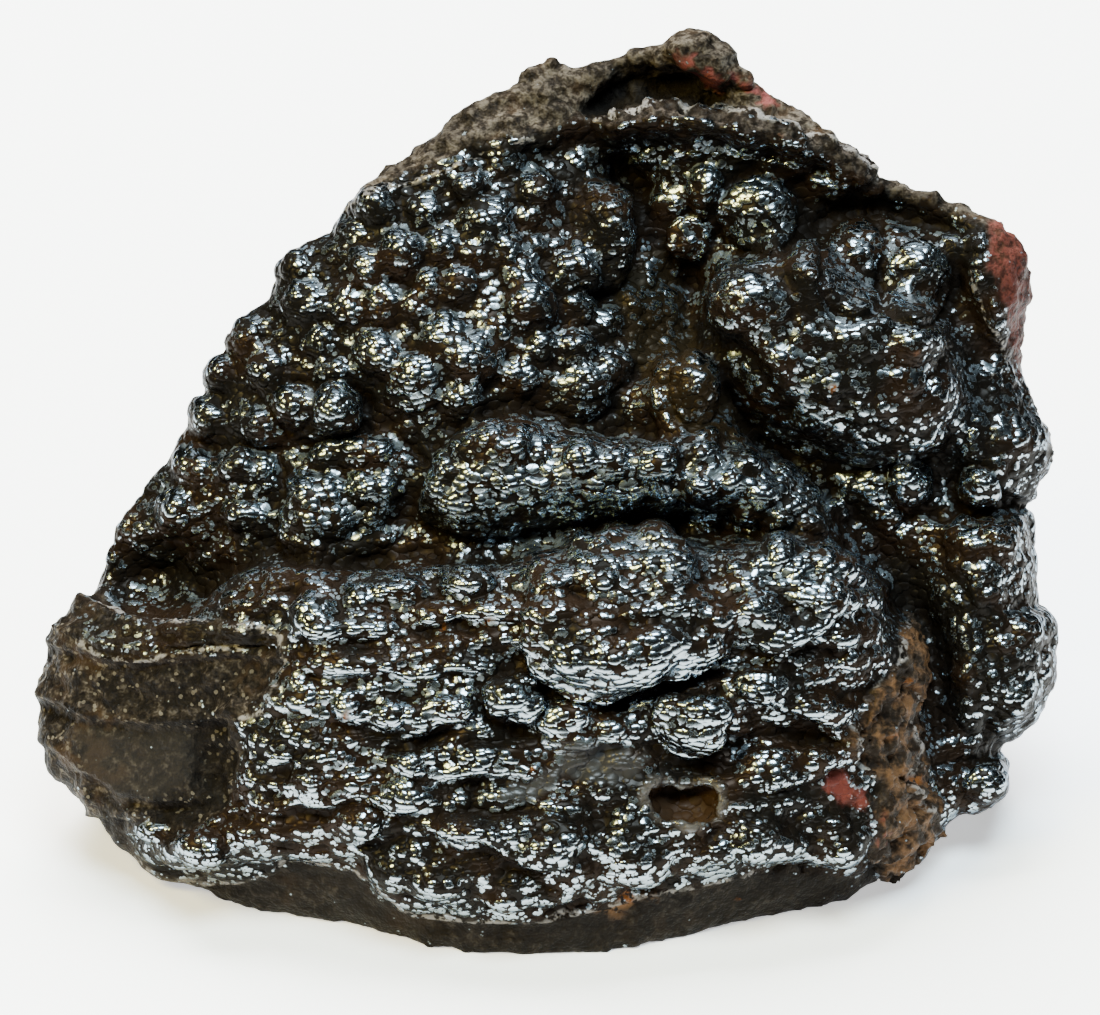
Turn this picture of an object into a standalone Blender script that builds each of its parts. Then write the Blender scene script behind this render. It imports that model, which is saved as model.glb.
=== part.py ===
"""Botryoidal hematite: a broken block of iron ore with a beaded, lobed crust on its front.

Every place on the crust is given in the frame of the crust itself, in millimetres:
across to the right, up the slope from the front of the base, and out of the slope.
"""
import math

import bmesh
import bpy
import numpy as np
from mathutils import Matrix, Vector, noise
from mathutils.geometry import delaunay_2d_cdt

millimetre = 0.001
crust_lean = math.radians(30.0)      # the crust's mean plane leans back this far from upright
widening = 0.0013                    # share the block widens for each millimetre further back
widening_centre = (0.0, 50.0)
outline_step = 1.1                   # spacing of the points round the edge
surface_step = 1.05                  # spacing of the points over the crust and the back
front_roll = 5.0                     # how far in from the edge the crust rounds over
back_roll = 8.5                      # the same at the back
fusing_size = 0.85                   # fineness at which the lobes are fused to the block
triangle_goal = 9300
base_depth = 1.6                     # how far the uncut block reaches below its base
back_roughness = 0.7

# Edge of the specimen seen square on to the crust: across, up, out
edge_points = [
    (-6.5, 0.0, 0.4), (4.3, 0.1, 0.3), (10.8, 1.2, -1.8), (21.1, 4.0, -6.6), (28.1, 5.1, -8.6),
    (32.4, 6.6, -9.6), (35.6, 8.3, -10.0), (37.8, 8.7, -10.2), (40.0, 10.0, -10.6),
    (41.3, 11.3, -11.0), (42.1, 13.7, -11.5), (43.7, 14.8, -12.5), (47.5, 15.2, -14.5),
    (49.1, 16.1, -15.0), (49.8, 18.0, -15.5), (49.9, 20.2, -16.0), (49.1, 21.6, -16.5),
    (48.1, 22.4, -16.5), (50.8, 23.4, -16.5), (52.9, 25.4, -16.5), (54.9, 28.8, -16.0),
    (54.9, 35.5, -16.0), (54.2, 36.9, -16.5), (52.7, 38.6, -17.0), (52.5, 43.0, -17.0),
    (52.1, 47.8, -17.5), (53.1, 51.0, -17.0), (54.6, 52.9, -16.5), (54.9, 54.2, -16.5),
    (53.2, 58.0, -17.0), (51.0, 62.1, -17.5), (50.3, 64.7, -17.5), (51.3, 68.5, -16.5),
    (52.2, 72.0, -15.5), (51.8, 76.4, -14.5), (51.0, 77.7, -14.0), (49.7, 78.5, -13.5),
    (41.6, 82.1, -12.5), (37.8, 82.9, -12.0), (36.2, 83.9, -12.0), (30.8, 88.5, -10.5),
    (29.2, 89.3, -10.0), (25.4, 93.1, -9.5), (22.7, 94.0, -9.0), (18.6, 99.9, -9.0),
    (16.2, 100.8, -9.0), (14.0, 100.8, -9.0), (11.3, 98.5, -9.0), (8.1, 97.7, -9.5),
    (4.9, 96.1, -9.5), (1.1, 97.0, -10.0), (-0.5, 96.7, -10.0), (-7.0, 92.9, -10.0),
    (-14.0, 86.6, -10.5), (-19.0, 83.9, -10.5), (-21.8, 80.9, -11.0), (-23.2, 78.5, -11.0),
    (-27.9, 76.4, -11.5), (-34.3, 66.4, -12.5), (-36.9, 63.9, -13.0), (-39.6, 56.2, -13.5),
    (-46.7, 47.2, -14.5), (-48.1, 44.0, -15.0), (-49.1, 37.3, -12.0), (-51.0, 37.7, -10.5),
    (-51.8, 37.3, -10.5), (-54.6, 33.2, -12.0), (-54.2, 31.2, -12.5), (-55.1, 28.6, -12.5),
    (-55.0, 25.1, -12.0), (-54.4, 24.0, -11.5), (-54.4, 20.4, -11.0), (-48.8, 15.0, -9.5),
    (-47.3, 12.1, -9.5), (-45.4, 11.2, -9.0), (-43.2, 8.7, -9.0), (-37.3, 7.5, -9.5),
    (-31.3, 4.5, -8.4), (-21.6, 3.7, -6.6), (-18.4, 2.9, -5.0), (-13.0, 0.9, -1.4),
]

# Depth of the block's own face, which shows in the clefts, hollows and broken parts
block_face = [
    (0, 4, 2.2), (-15, 4, 1.0), (15, 6, 0.0), (-27, 8, -4.0), (28, 8, -4.5), (-38, 10, -7.0),
    (38, 12, -8.0), (-45, 22, -8.0), (-50, 30, -10.0), (-40, 30, -6.0), (-30, 22, -1.5), (0, 20, 4.0),
    (-20, 25, 2.0), (20, 25, 2.0), (36, 28, -4.0), (40, 20, -7.0), (46, 20, -14.0), (50, 32, -15.0),
    (42, 38, -14.0), (38, 45, -13.5), (33, 50, -12.5), (20, 60, -12.0), (16, 70, -12.5),
    (12, 78, -13.0), (5, 85, -12.0), (-42, 40, -15.0), (-30, 45, -6.5), (-20, 48, -5.0),
    (-10, 46, -5.0), (5, 47, -5.5), (15, 46, -5.5), (25, 47, -5.0), (-35, 52, -8.0),
    (-43, 50, -13.0), (-25, 60, -5.0), (-10, 62, -2.5), (0, 62, -3.5), (10, 60, -6.0),
    (-30, 68, -8.5), (-15, 75, -4.0), (0, 75, -4.5), (-22, 78, -8.0), (-8, 85, -7.0), (-2, 88, -8.0),
    (-12, 90, -9.0), (0, 94, -9.0), (8, 94, -10.5), (16, 95, -10.0), (16, 99, -8.0), (22, 92, -9.0),
    (18, 86, -9.0), (28, 86, -10.0), (22, 80, -12.0), (30, 80, -12.0), (37, 80.5, -15.0),
    (34, 75, -12.0), (30, 68, -8.0), (40, 68, -10.0), (30, 60, -8.5), (40, 58, -10.5), (48, 74, -12.0),
    (50, 68, -14.5), (46, 62, -14.0), (50, 56, -15.0), (46, 48, -15.0), (40, 52, -11.0),
]

# Depth of the broken back, from the floor to the crest
block_back = [
    (0, 28, -50.0), (-26, 26, -47.0), (27, 27, -48.0), (-42, 22, -36.0), (43, 24, -40.0),
    (0, 8, -36.0), (-30, 10, -34.0), (30, 10, -34.0), (0, 45, -46.0), (-22, 44, -42.0),
    (25, 45, -45.0), (-40, 42, -34.0), (44, 46, -38.0), (2, 63, -42.0), (-20, 62, -38.0),
    (24, 62, -41.0), (-33, 58, -30.0), (42, 64, -36.0), (6, 80, -34.0), (-12, 78, -31.0),
    (26, 78, -33.0), (40, 74, -31.0), (12, 94, -27.0), (-2, 92, -26.0),
]

# Flat breaks across the back: direction they face (right, up, back) and how deep they bite
back_breaks = [
    ((0.25, 0.12, 0.96), 4.0), ((-0.35, 0.10, 0.93), 4.5), ((0.02, -0.16, 0.98), 3.0),
    ((0.62, 0.22, 0.75), 5.0), ((-0.70, 0.25, 0.66), 5.5), ((0.05, 0.45, 0.88), 3.5),
    ((0.88, -0.22, 0.42), 4.0), ((-0.86, -0.20, 0.46), 4.0), ((-0.28, 0.60, 0.74), 3.5),
    ((0.40, 0.55, 0.73), 4.0),
]

# Sheets and masses of crust: roundness, width of the rounding, then corners (across, up, out)
crust_sheets = {
    "front apron": (5.0, 9.0, [
        (-28.1, 38, 3), (-28.6, 30.5, 4), (-31.5, 25.8, 3), (-34.8, 25.4, 1), (-33.3, 21, 1),
        (-34, 17, 0), (-38.9, 13.7, -3), (-45.4, 14.8, -7), (-44.3, 11.4, -7), (-42, 9.6, -6.5),
        (-37.8, 8.7, -5), (-33.5, 9, -3.5), (-27, 10.7, 0), (-20.5, 10.2, 2), (-19, 7.2, 2.5),
        (-16, 5.6, 3), (-8, 4.7, 4), (0, 4.8, 4), (5, 6, 4), (10, 7.3, 3.5), (16, 8.5, 3),
        (22, 9.9, 1.5), (30, 9.6, -2), (35.6, 9.2, -5), (39, 13, -6), (38, 20, -4), (37, 28, -2),
        (37, 34, -1), (35.5, 39.5, -1), (32.5, 43, 0), (27, 45, 1), (20.5, 44, 2), (16, 42.5, 3),
        (13.5, 45.2, 3.5), (8, 45.4, 3.5), (4, 44, 3.5), (0, 43, 3), (-4, 41.8, 2), (-8, 42, 2),
        (-12, 41, 1.5), (-18, 40, 1.5), (-23.5, 38.5, 2)]),
    "second ledge": (3.0, 4.0, [
        (-38, 36.5, -3), (-37, 38.5, -4), (-34, 41, -4), (-30.5, 43.2, -3.5), (-26, 43.2, -3),
        (-22, 42, -2), (-16, 42.2, -2), (-8, 43, -2), (-5, 41.5, 1), (-12, 39, 2), (-20, 38, 3),
        (-27, 36.5, 3), (-33, 35.5, 1)]),
    "left broken block": (2.0, 3.0, [
        (-51, 37.7, -9), (-54.5, 33, -11), (-55, 27, -12), (-54.4, 21, -10), (-48.8, 15, -8),
        (-45.4, 14.6, -7), (-39, 13.7, -4), (-34, 17, -2), (-33, 20.2, -1), (-31.5, 25.8, 0),
        (-28.5, 30.5, 1), (-28, 36.5, 1), (-37.8, 35.5, -2), (-43, 35, -4.5), (-46.5, 35.6, -6),
        (-48.6, 37.4, -8)]),
    "third ledge": (5.0, 7.0, [
        (-15, 49, -3), (-15, 52, -4), (-13.5, 54.5, -4.5), (-10, 57, -5), (-5, 58.3, -5.5),
        (0, 57, -5), (4, 56.3, -5), (9, 56, -5), (15, 56, -5), (20, 55, -5), (24, 53, -5),
        (27, 51, -5), (29, 48, -4.5), (29.5, 45, -3), (25, 46.5, -2.5), (20, 48, -2.5),
        (14, 48.8, -2.5), (7, 48.4, -2.5), (1, 47.6, -2.5), (-4, 46.2, -2.5), (-10, 45.6, -3)]),
    "upper right dome": (7.5, 8.5, [
        (16.2, 66.6, -7), (16.5, 71, -7), (18.5, 74.5, -7), (22.5, 76, -6.5), (29, 77.5, -6.5),
        (31.5, 74, -6.5), (35, 71.5, -7), (40, 70.5, -8), (43.5, 68.5, -9), (44.5, 62, -10),
        (44, 56, -11), (41, 54, -11), (36, 53.5, -10), (31, 54, -9.5), (26, 55.5, -8.5),
        (21, 58.5, -8), (18, 62.5, -7.5)]),
    "right block": (5.0, 7.0, [
        (41.5, 47, -13), (44.5, 48, -13), (52, 47.8, -15), (52.5, 39.5, -16), (54.9, 35, -15),
        (54.9, 28.8, -15), (53, 25.5, -16), (48.5, 23, -15), (44, 23, -14), (42, 26, -13),
        (41.5, 32, -13), (41.3, 39, -13)]),
    "right wing": (4.0, 5.0, [
        (45, 64, -14), (50.3, 64.7, -16), (53, 58.5, -16), (54.9, 54, -16), (53.3, 51, -16),
        (51.5, 48.6, -16), (44.5, 48.6, -14), (43.7, 55, -13)]),
    "right knob": (4.0, 4.0, [
        (42.7, 81.5, -13), (49.7, 78.5, -14), (52.2, 75, -14), (52.2, 71, -14), (50.5, 66.5, -15),
        (47.5, 65.5, -13), (46, 71, -12), (43.5, 75.5, -12)]),
    "rusty ridge": (2.5, 2.5, [
        (37.3, 37, -3), (39.5, 33, -3), (40.2, 29, -4), (38.5, 23.5, -5), (40, 18, -6),
        (42, 14, -9), (40, 10, -9), (36.5, 8.8, -8), (35.6, 12.5, -6), (35, 17, -5),
        (33.5, 21.5, -5), (35, 25.5, -5), (36.7, 29, -4), (35.7, 33, -3)]),
    "middle ridge": (4.0, 5.0, [
        (11.5, 64.5, -7), (15, 65.5, -7), (18, 63.5, -7.5), (20, 59, -7.5), (21, 54.5, -6.5),
        (16, 54.3, -5.5), (12, 56, -5), (9.5, 60, -6)]),
    "crest knob": (2.5, 3.0, [
        (12, 98.5, -9), (14, 100.6, -9), (18.6, 99.9, -9), (21.8, 95.5, -9), (22.5, 93.5, -9),
        (18, 94, -6.5), (12.5, 96.5, -7)]),
    "crest band": (2.5, 2.5, [
        (5, 90.3, -7), (8, 91.8, -7.5), (12, 92.6, -7.5), (17, 91.7, -6.5), (22, 90.8, -6.5),
        (27, 89, -7), (32, 87, -9), (36, 84, -11), (36, 82, -10), (33, 83.5, -8.5), (29, 86, -7),
        (24, 87.5, -5.5), (18, 88.5, -5), (12, 89, -5.5), (7, 88, -6.5)]),
    "right rim": (1.5, 1.5, [
        (36.2, 83.9, -12), (40, 82.6, -12), (46, 80.2, -12.5), (49.7, 78.5, -13), (49, 77.6, -11.5),
        (44, 79.2, -11), (40, 81.2, -11), (37, 82.3, -11)]),
    "hanging lip": (4.0, 6.0, [
        (-3.2, 39.5, 6), (-2.4, 34.2, 8.5), (0, 31, 9.5), (3, 29.2, 10), (5.5, 28.8, 10),
        (8, 29.8, 9.5), (11, 31, 9), (15, 32.2, 8), (18, 34.5, 7), (18, 38.5, 5), (16.2, 42.5, 3),
        (13, 45, 3), (8, 45.3, 3), (3, 43.6, 3), (-1.5, 42, 3)]),
    "lower lip": (1.5, 1.5, [
        (8, 30.2, 9), (12, 29.9, 8.5), (17, 32, 8), (20, 35, 7), (26, 38, 5), (20, 40, 6),
        (12, 36, 9)]),
    "right scallops": (2.5, 3.0, [
        (19, 42, 4), (27, 44, 2.5), (33, 42, 1), (35, 37, 1), (33, 33, 3), (27, 32, 5), (20, 33.5, 7)]),
}

# Rounded lobes: across, up, half width, half height, how far they stand out
lobes = [
    (6.5, 78.3, 3.4, 5.4, 4.6), (14.4, 76.9, 3.0, 3.0, 2.0), (22.7, 80.5, 4.6, 4.1, 4.4),
    (17.0, 82.8, 2.7, 2.7, 2.4), (33.3, 74.7, 3.3, 4.5, 3.6), (39.4, 74.0, 4.2, 4.1, 4.0),
    (21.4, 70.4, 4.9, 4.6, 1.6), (28.1, 72.3, 1.8, 1.8, 1.8), (33.7, 68.0, 2.9, 2.4, 1.6),
    (39.4, 67.3, 2.9, 2.4, 1.8), (15.1, 61.8, 3.6, 3.8, 1.6), (10.3, 57.5, 1.7, 1.7, 1.3),
    (8.6, 59.4, 1.8, 1.8, 1.3), (7.6, 64.5, 1.9, 1.9, 1.2), (-18.9, 81.2, 2.0, 1.9, 1.6),
    (-8.9, 82.8, 1.7, 1.6, 1.3), (-4.9, 86.1, 2.2, 2.0, 1.6), (-1.1, 82.3, 2.3, 2.1, 1.5),
    (-5.9, 80.1, 1.7, 1.7, 1.0), (-16.2, 75.8, 2.7, 2.3, 1.5), (-19.6, 74.3, 2.1, 2.0, 1.3),
    (-2.4, 70.4, 2.4, 2.4, 1.6), (-10.3, 63.9, 3.0, 2.6, 1.7), (-13.9, 63.2, 1.9, 1.8, 1.2),
    (4.3, 61.8, 2.4, 2.2, 1.6), (6.5, 63.9, 2.0, 1.9, 1.2), (2.7, 65.6, 2.0, 1.9, 1.2),
    (-1.1, 66.1, 1.9, 1.8, 1.0), (7.6, 71.0, 2.3, 2.3, 1.4), (2.2, 74.2, 2.3, 2.2, 1.4),
    (-17.0, 62.9, 2.2, 2.0, 1.2), (-22.1, 70.4, 1.9, 1.8, 1.2), (-26.6, 74.6, 1.9, 1.8, 1.2),
    (-27.0, 70.6, 2.0, 1.9, 1.3), (-30.4, 63.9, 2.2, 2.0, 1.3), (-31.9, 67.2, 1.9, 1.8, 1.1),
    (-34.8, 62.4, 1.8, 1.7, 1.1), (-28.1, 59.3, 2.5, 2.2, 1.8), (-23.2, 59.3, 2.9, 2.4, 2.2),
    (-31.1, 56.9, 2.4, 2.0, 1.6), (-36.8, 56.9, 1.8, 1.7, 1.1), (-39.4, 52.9, 1.9, 1.8, 1.2),
    (-22.7, 55.3, 2.5, 2.0, 1.6), (-18.9, 54.4, 2.3, 2.0, 1.5), (-33.0, 52.8, 2.8, 2.1, 2.0),
    (-36.6, 51.6, 2.0, 1.8, 1.5), (-38.9, 47.2, 3.4, 2.8, 2.4), (-32.4, 47.6, 2.4, 2.2, 1.8),
    (-44.2, 45.6, 2.0, 1.8, 1.1), (-24.8, 47.6, 4.8, 4.4, 3.2), (-18.8, 49.4, 3.0, 3.2, 2.2),
    (-5.4, 54.4, 5.0, 3.6, 2.0), (4.3, 53.1, 3.9, 3.0, 1.8), (11.9, 53.1, 3.3, 2.8, 1.8),
    (16.4, 54.4, 2.1, 1.8, 1.3), (16.4, 50.6, 2.4, 2.0, 1.3), (21.1, 52.4, 2.2, 2.0, 1.4),
    (25.6, 51.3, 1.9, 1.8, 1.3), (27.9, 49.2, 1.7, 1.6, 1.2), (29.0, 46.5, 1.7, 1.6, 1.2),
    (-10.3, 44.2, 2.4, 1.8, 1.8), (16.7, 46.1, 2.1, 1.6, 1.5), (-4.0, 28.3, 3.1, 2.8, 2.6),
    (15.7, 25.9, 5.3, 3.7, 3.4), (21.9, 27.4, 1.9, 1.8, 1.8), (2.5, 25.6, 5.2, 1.9, 1.4),
    (31.3, 22.4, 1.7, 1.7, 1.6), (38.0, 51.3, 2.6, 2.3, 1.9), (47.0, 51.2, 2.2, 2.0, 1.4),
    (47.0, 18.8, 3.1, 3.0, 2.8), (-14.5, 18.0, 4.0, 2.6, 1.2), (-24.0, 20.0, 4.4, 2.8, 1.2),
    (-8.0, 13.0, 5.0, 3.4, 1.6), (1.5, 12.0, 4.0, 3.4, 1.6), (-36.0, 11.5, 3.6, 2.0, 1.1),
    (8.5, 12.8, 3.4, 2.4, 1.0), (22.0, 13.0, 4.0, 2.2, 1.2), (31.0, 12.4, 3.4, 2.0, 1.3),
    (-11.0, 32.6, 4.2, 2.2, 1.0), (-19.0, 30.2, 4.2, 2.4, 1.0), (-24.5, 34.0, 3.0, 2.2, 1.0),
    (25.4, 27.6, 3.4, 2.0, 1.2), (-17.0, 39.2, 2.8, 1.8, 1.0), (-8.0, 40.6, 3.0, 1.8, 1.0),
    (5.6, 43.2, 3.4, 2.2, 1.0), (12.8, 43.2, 2.6, 2.2, 1.0), (30.6, 41.6, 2.4, 2.0, 1.0),
    (24.4, 42.6, 2.6, 1.8, 0.8), (48.0, 44.0, 2.6, 2.6, 1.0), (46.5, 38.0, 2.8, 2.6, 1.0),
    (50.6, 33.6, 2.8, 2.6, 1.0), (46.4, 30.6, 2.8, 2.6, 1.0), (50.0, 27.6, 2.4, 2.2, 1.0),
]

# Hollows: across, up, half width, half height, depth
hollows = [
    (8.5, 84.0, 3.4, 3.6, 3.0), (-42.0, 40.4, 5.5, 2.6, 3.5), (-36.4, 20.6, 1.9, 3.2, 2.2),
    (14.2, 17.0, 3.8, 2.3, 4.0), (18.0, 21.7, 7.6, 1.5, 3.2), (38.0, 80.7, 2.7, 1.0, 3.5),
    (42.6, 79.6, 1.7, 1.0, 2.5), (33.4, 23.7, 1.7, 2.3, 2.6), (-46.6, 14.4, 1.5, 1.5, 1.6),
    (-36.4, 35.0, 0.9, 0.9, 1.8), (32.5, 18.6, 3.2, 1.5, 1.4), (-13.5, 84.2, 1.6, 0.8, 1.4),
    (12.0, 76.2, 1.6, 3.6, 2.0), (29.8, 77.0, 1.2, 2.2, 2.0), (26.0, 85.8, 2.4, 1.0, 1.5),
]

# Clefts, cracks and gaps: width, depth, then points along them
clefts = {
    "main cleft": (2.4, 4.0, [
        (15.1, 73.1), (16.4, 66.6), (20.6, 58.6), (25.4, 54.6), (30.2, 49.6), (32.8, 45.4),
        (36.6, 40.4), (40.6, 34.2), (41.4, 28.8), (41.0, 23.5)]),
    "crest fissure": (1.5, 4.5, [
        (5.5, 92.3), (9.0, 94.1), (12.5, 94.7), (16.0, 93.7), (18.5, 92.2)]),
    "right crack": (0.9, 2.5, [(43.5, 48.2), (48.0, 48.3), (52.6, 48.0)]),
    "gap under the third ledge": (1.4, 1.6, [
        (-4.0, 45.0), (2.0, 46.6), (8.0, 47.2), (14.0, 47.0), (20.0, 46.2)]),
    "gap under the hanging lip": (1.1, 2.0, [
        (-3.6, 33.0), (-1.0, 30.0), (3.0, 27.8), (8.0, 28.2), (14.0, 30.4), (19.0, 33.0)]),
    "gap behind the lip": (1.2, 2.0, [
        (-8.0, 86.6), (-3.0, 85.6), (2.0, 87.4), (5.5, 88.0)]),
}

# Ridges that stand up: width, height, then points along them
ridges = {
    "upper crust edge": (1.5, 1.7, [
        (-18.6, 83.0), (-12.0, 85.3), (-8.6, 87.4), (-3.0, 88.3), (1.5, 89.4), (5.4, 89.8)]),
    "broken block edge": (1.2, 1.2, [
        (-50.8, 37.0), (-46.5, 35.4), (-41.0, 35.0), (-34.0, 35.6), (-29.0, 36.2)]),
    "pit rim": (0.8, 1.0, [
        (10.2, 18.2), (12.4, 19.4), (16.2, 19.1), (18.2, 17.2), (17.6, 14.9), (14.0, 14.2),
        (10.8, 15.6), (10.2, 18.2)]),
    "dome ridge": (0.8, 0.8, [(23.8, 75.8), (26.6, 76.6), (29.4, 77.6)]),
    "broken crust edge": (1.0, 0.9, [
        (-28.4, 33.0), (-29.0, 29.0), (-31.4, 26.2), (-34.6, 25.2), (-33.4, 21.5), (-34.0, 17.2),
        (-38.9, 14.2), (-44.0, 13.6)]),
    "knob seam": (0.7, 0.8, [(45.8, 74.0), (47.2, 70.4), (48.4, 67.0), (48.9, 64.4)]),
}


def start_clean():
    for leftover in list(bpy.data.objects):
        bpy.data.objects.remove(leftover, do_unlink=True)


def place(across, up, out):
    """Turn a place on the crust, in millimetres, into a point above the floor, in metres."""
    spread = 1.0 - widening * out
    across = widening_centre[0] + (across - widening_centre[0]) * spread
    up = widening_centre[1] + (up - widening_centre[1]) * spread
    depth = up * math.sin(crust_lean) - out * math.cos(crust_lean)
    height = up * math.cos(crust_lean) + out * math.sin(crust_lean)
    return Vector((across, depth, height)) * millimetre


def sample_line(points, step, closed=False):
    """Points at an even spacing along a line, with whatever depth its corners carry."""
    corners = np.array(points, dtype=float)
    if closed:
        corners = np.vstack([corners, corners[:1]])
    samples = []
    for first, second in zip(corners[:-1], corners[1:]):
        count = max(1, int(round(np.linalg.norm(second[:2] - first[:2]) / step)))
        for index in range(count):
            samples.append(first + (second - first) * index / count)
    if not closed:
        samples.append(corners[-1])
    return np.array(samples)


def inside(places, corners):
    """Which places lie inside a closed line of corners."""
    across, up = places[:, 0], places[:, 1]
    result = np.zeros(len(places), dtype=bool)
    previous = corners[-1]
    for corner in corners:
        crosses = (corner[1] > up) != (previous[1] > up)
        rise = previous[1] - corner[1]
        rise = rise if abs(rise) > 1e-9 else 1e-9
        limit = (previous[0] - corner[0]) * (up - corner[1]) / rise + corner[0]
        result ^= crosses & (across < limit)
        previous = corner
    return result


def distances(places, samples):
    return np.linalg.norm(places[:, None, :2] - samples[None, :, :2], axis=2)


class SmoothSheet:
    """A bending sheet drawn smoothly through hand-placed depths."""

    stiffness = 2.0

    def __init__(self, points):
        self.points = np.array(points, dtype=float)
        count = len(self.points)
        system = np.zeros((count + 3, count + 3))
        system[:count, :count] = self.bend(distances(self.points, self.points))
        system[:count, :count] += np.eye(count) * self.stiffness
        system[:count, count] = 1.0
        system[:count, count + 1:] = self.points[:, :2]
        system[count:, :count] = system[:count, count:].T
        wanted = np.concatenate([self.points[:, 2], np.zeros(3)])
        self.weights = np.linalg.solve(system, wanted)

    def bend(self, distance):
        return distance ** 2 * np.log(distance + 1e-6) * 0.01

    def depth(self, places):
        count = len(self.points)
        value = self.bend(distances(places, self.points)) @ self.weights[:count]
        flat = self.weights[count] + places[:, :2] @ self.weights[count + 1:]
        return value + flat


def rounded(share):
    """Quarter-circle rise from 0 at an edge to 1."""
    share = np.clip(share, 0.0, 1.0)
    return np.sqrt(np.clip(1.0 - (1.0 - share) ** 2, 0.0, 1.0))


def weighted_depth(places, samples, reach):
    """Depth carried by the nearest samples, blended by closeness."""
    near = 1.0 / (reach ** 2 + 0.6)
    return (near @ samples[:, 2]) / near.sum(axis=1)


def add_sheets(places, depth):
    for roundness, width, corners in crust_sheets.values():
        within = inside(places, corners)
        if not within.any():
            continue
        samples = sample_line(corners, 0.8, closed=True)
        reach = distances(places[within], samples)
        sheet = weighted_depth(places[within], samples, reach)
        sheet += roundness * rounded(reach.min(axis=1) / width)
        depth[within] = np.maximum(depth[within], sheet)
    return depth


def add_lines(places, depth, lines, sign):
    for width, amount, points in lines.values():
        reach = distances(places, sample_line(points, 0.4)).min(axis=1)
        depth += sign * amount * np.exp(-(reach / width) ** 2)
    return depth


def add_hollows(places, depth):
    for across, up, half_width, half_height, amount in hollows:
        reach = ((places[:, 0] - across) / half_width) ** 2 + ((places[:, 1] - up) / half_height) ** 2
        depth -= amount * np.exp(-reach ** 1.6)
    return depth


face_sheet = SmoothSheet(block_face)
back_sheet = SmoothSheet(block_back)
edge_samples = sample_line(edge_points, outline_step, closed=True)


def crust_depth(places):
    """How far the front stands out at each place."""
    depth = face_sheet.depth(places)
    depth = add_sheets(places, depth)
    depth = add_lines(places, depth, ridges, 1.0)
    depth = add_lines(places, depth, clefts, -1.0)
    depth = add_hollows(places, depth)
    reach = distances(places, edge_samples)
    rim = weighted_depth(places, edge_samples, reach)
    share = rounded(reach.min(axis=1) / front_roll)
    return rim + (depth - rim) * share


def back_depth(places):
    """How far back the broken faces behind reach at each place."""
    depth = back_sheet.depth(places)
    reach = distances(places, edge_samples)
    rim = weighted_depth(places, edge_samples, reach)
    share = rounded(reach.min(axis=1) / back_roll)
    depth = rim + (np.minimum(depth, rim) - rim) * share
    for direction, bite in back_breaks:
        facing = Vector(direction).normalized()
        along_up = facing.y * math.cos(crust_lean) + facing.z * math.sin(crust_lean)
        along_out = facing.y * math.sin(crust_lean) - facing.z * math.cos(crust_lean)
        sideways = facing.x * places[:, 0] + along_up * places[:, 1]
        farthest = (sideways + along_out * depth).max() - bite
        depth = np.maximum(depth, (farthest - sideways) / along_out)
    for index, (across, up) in enumerate(places[:, :2]):
        spot = Vector((across, up, 3.0))
        coarse = noise.noise(spot * 0.11) + 0.5 * abs(noise.noise(spot * 0.27))
        depth[index] += back_roughness * coarse * 1.6 * share[index]
    return depth


def surface_places():
    """Staggered places over the whole face, a little inside its edge."""
    rows = []
    up = 0.5
    row = 0
    while up < 101.0:
        across = np.arange(-56.0, 56.0, surface_step) + (row % 2) * surface_step * 0.5
        rows.append(np.column_stack([across, np.full(len(across), up)]))
        up += surface_step * 0.87
        row += 1
    places = np.vstack(rows)
    places = places[inside(places, edge_points)]
    return places[distances(places, edge_samples).min(axis=1) > surface_step * 0.6]


def lower_edge(points):
    """Carry the edge that stands on the floor a little below it, ready to be cut flat."""
    lowered = points.copy()
    height = points[:, 1] * math.cos(crust_lean) + points[:, 2] * math.sin(crust_lean)
    resting = height < 1.2
    lowered[resting, 1] -= base_depth
    return lowered


def block_mesh(mesh):
    """The block with its crust relief, as one closed surface."""
    places = surface_places()
    rim_count = len(edge_samples)
    flat = np.vstack([edge_samples[:, :2], places])
    rim_edges = [(index, (index + 1) % rim_count) for index in range(rim_count)]
    rim_face = [list(range(rim_count))]
    found = delaunay_2d_cdt([Vector(spot) for spot in flat.tolist()], rim_edges, rim_face, 1, 1e-5)
    spots = np.array([tuple(spot) for spot in found[0]])
    source = [origins[0] if origins else len(flat) for origins in found[3]]
    is_rim = np.array([number < rim_count for number in source])
    front = np.column_stack([spots, crust_depth(spots)])
    back = np.column_stack([spots, back_depth(spots)])
    for index in np.nonzero(is_rim)[0]:
        front[index, 2] = edge_samples[source[index], 2]
    front[is_rim] = lower_edge(front[is_rim])
    back[:, 2] = np.minimum(back[:, 2], front[:, 2] - 2.0)
    front_points = [mesh.verts.new(place(*spot)) for spot in front]
    back_points = []
    for index, spot in enumerate(back):
        back_points.append(front_points[index] if is_rim[index] else mesh.verts.new(place(*spot)))
    for triangle in found[2]:
        mesh.faces.new([front_points[number] for number in triangle])
        mesh.faces.new([back_points[number] for number in reversed(triangle)])


def lobe_meshes(mesh):
    """Every rounded lobe as a ball sunk into the crust."""
    spots = np.array([(lobe[0], lobe[1]) for lobe in lobes])
    surface = crust_depth(spots)
    for (across, up, half_width, half_height, rise), depth in zip(lobes, surface):
        half_depth = 0.5 * (half_width + half_height)
        centre = place(across, up, depth + rise - half_depth)
        turn = Matrix.Rotation(-crust_lean, 4, "X")
        size = Matrix.Diagonal((half_width, half_depth, half_height, 1.0 / millimetre)) * millimetre
        where = Matrix.Translation(centre) @ turn @ size
        bmesh.ops.create_icosphere(mesh, subdivisions=3, radius=1.0, matrix=where)


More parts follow.
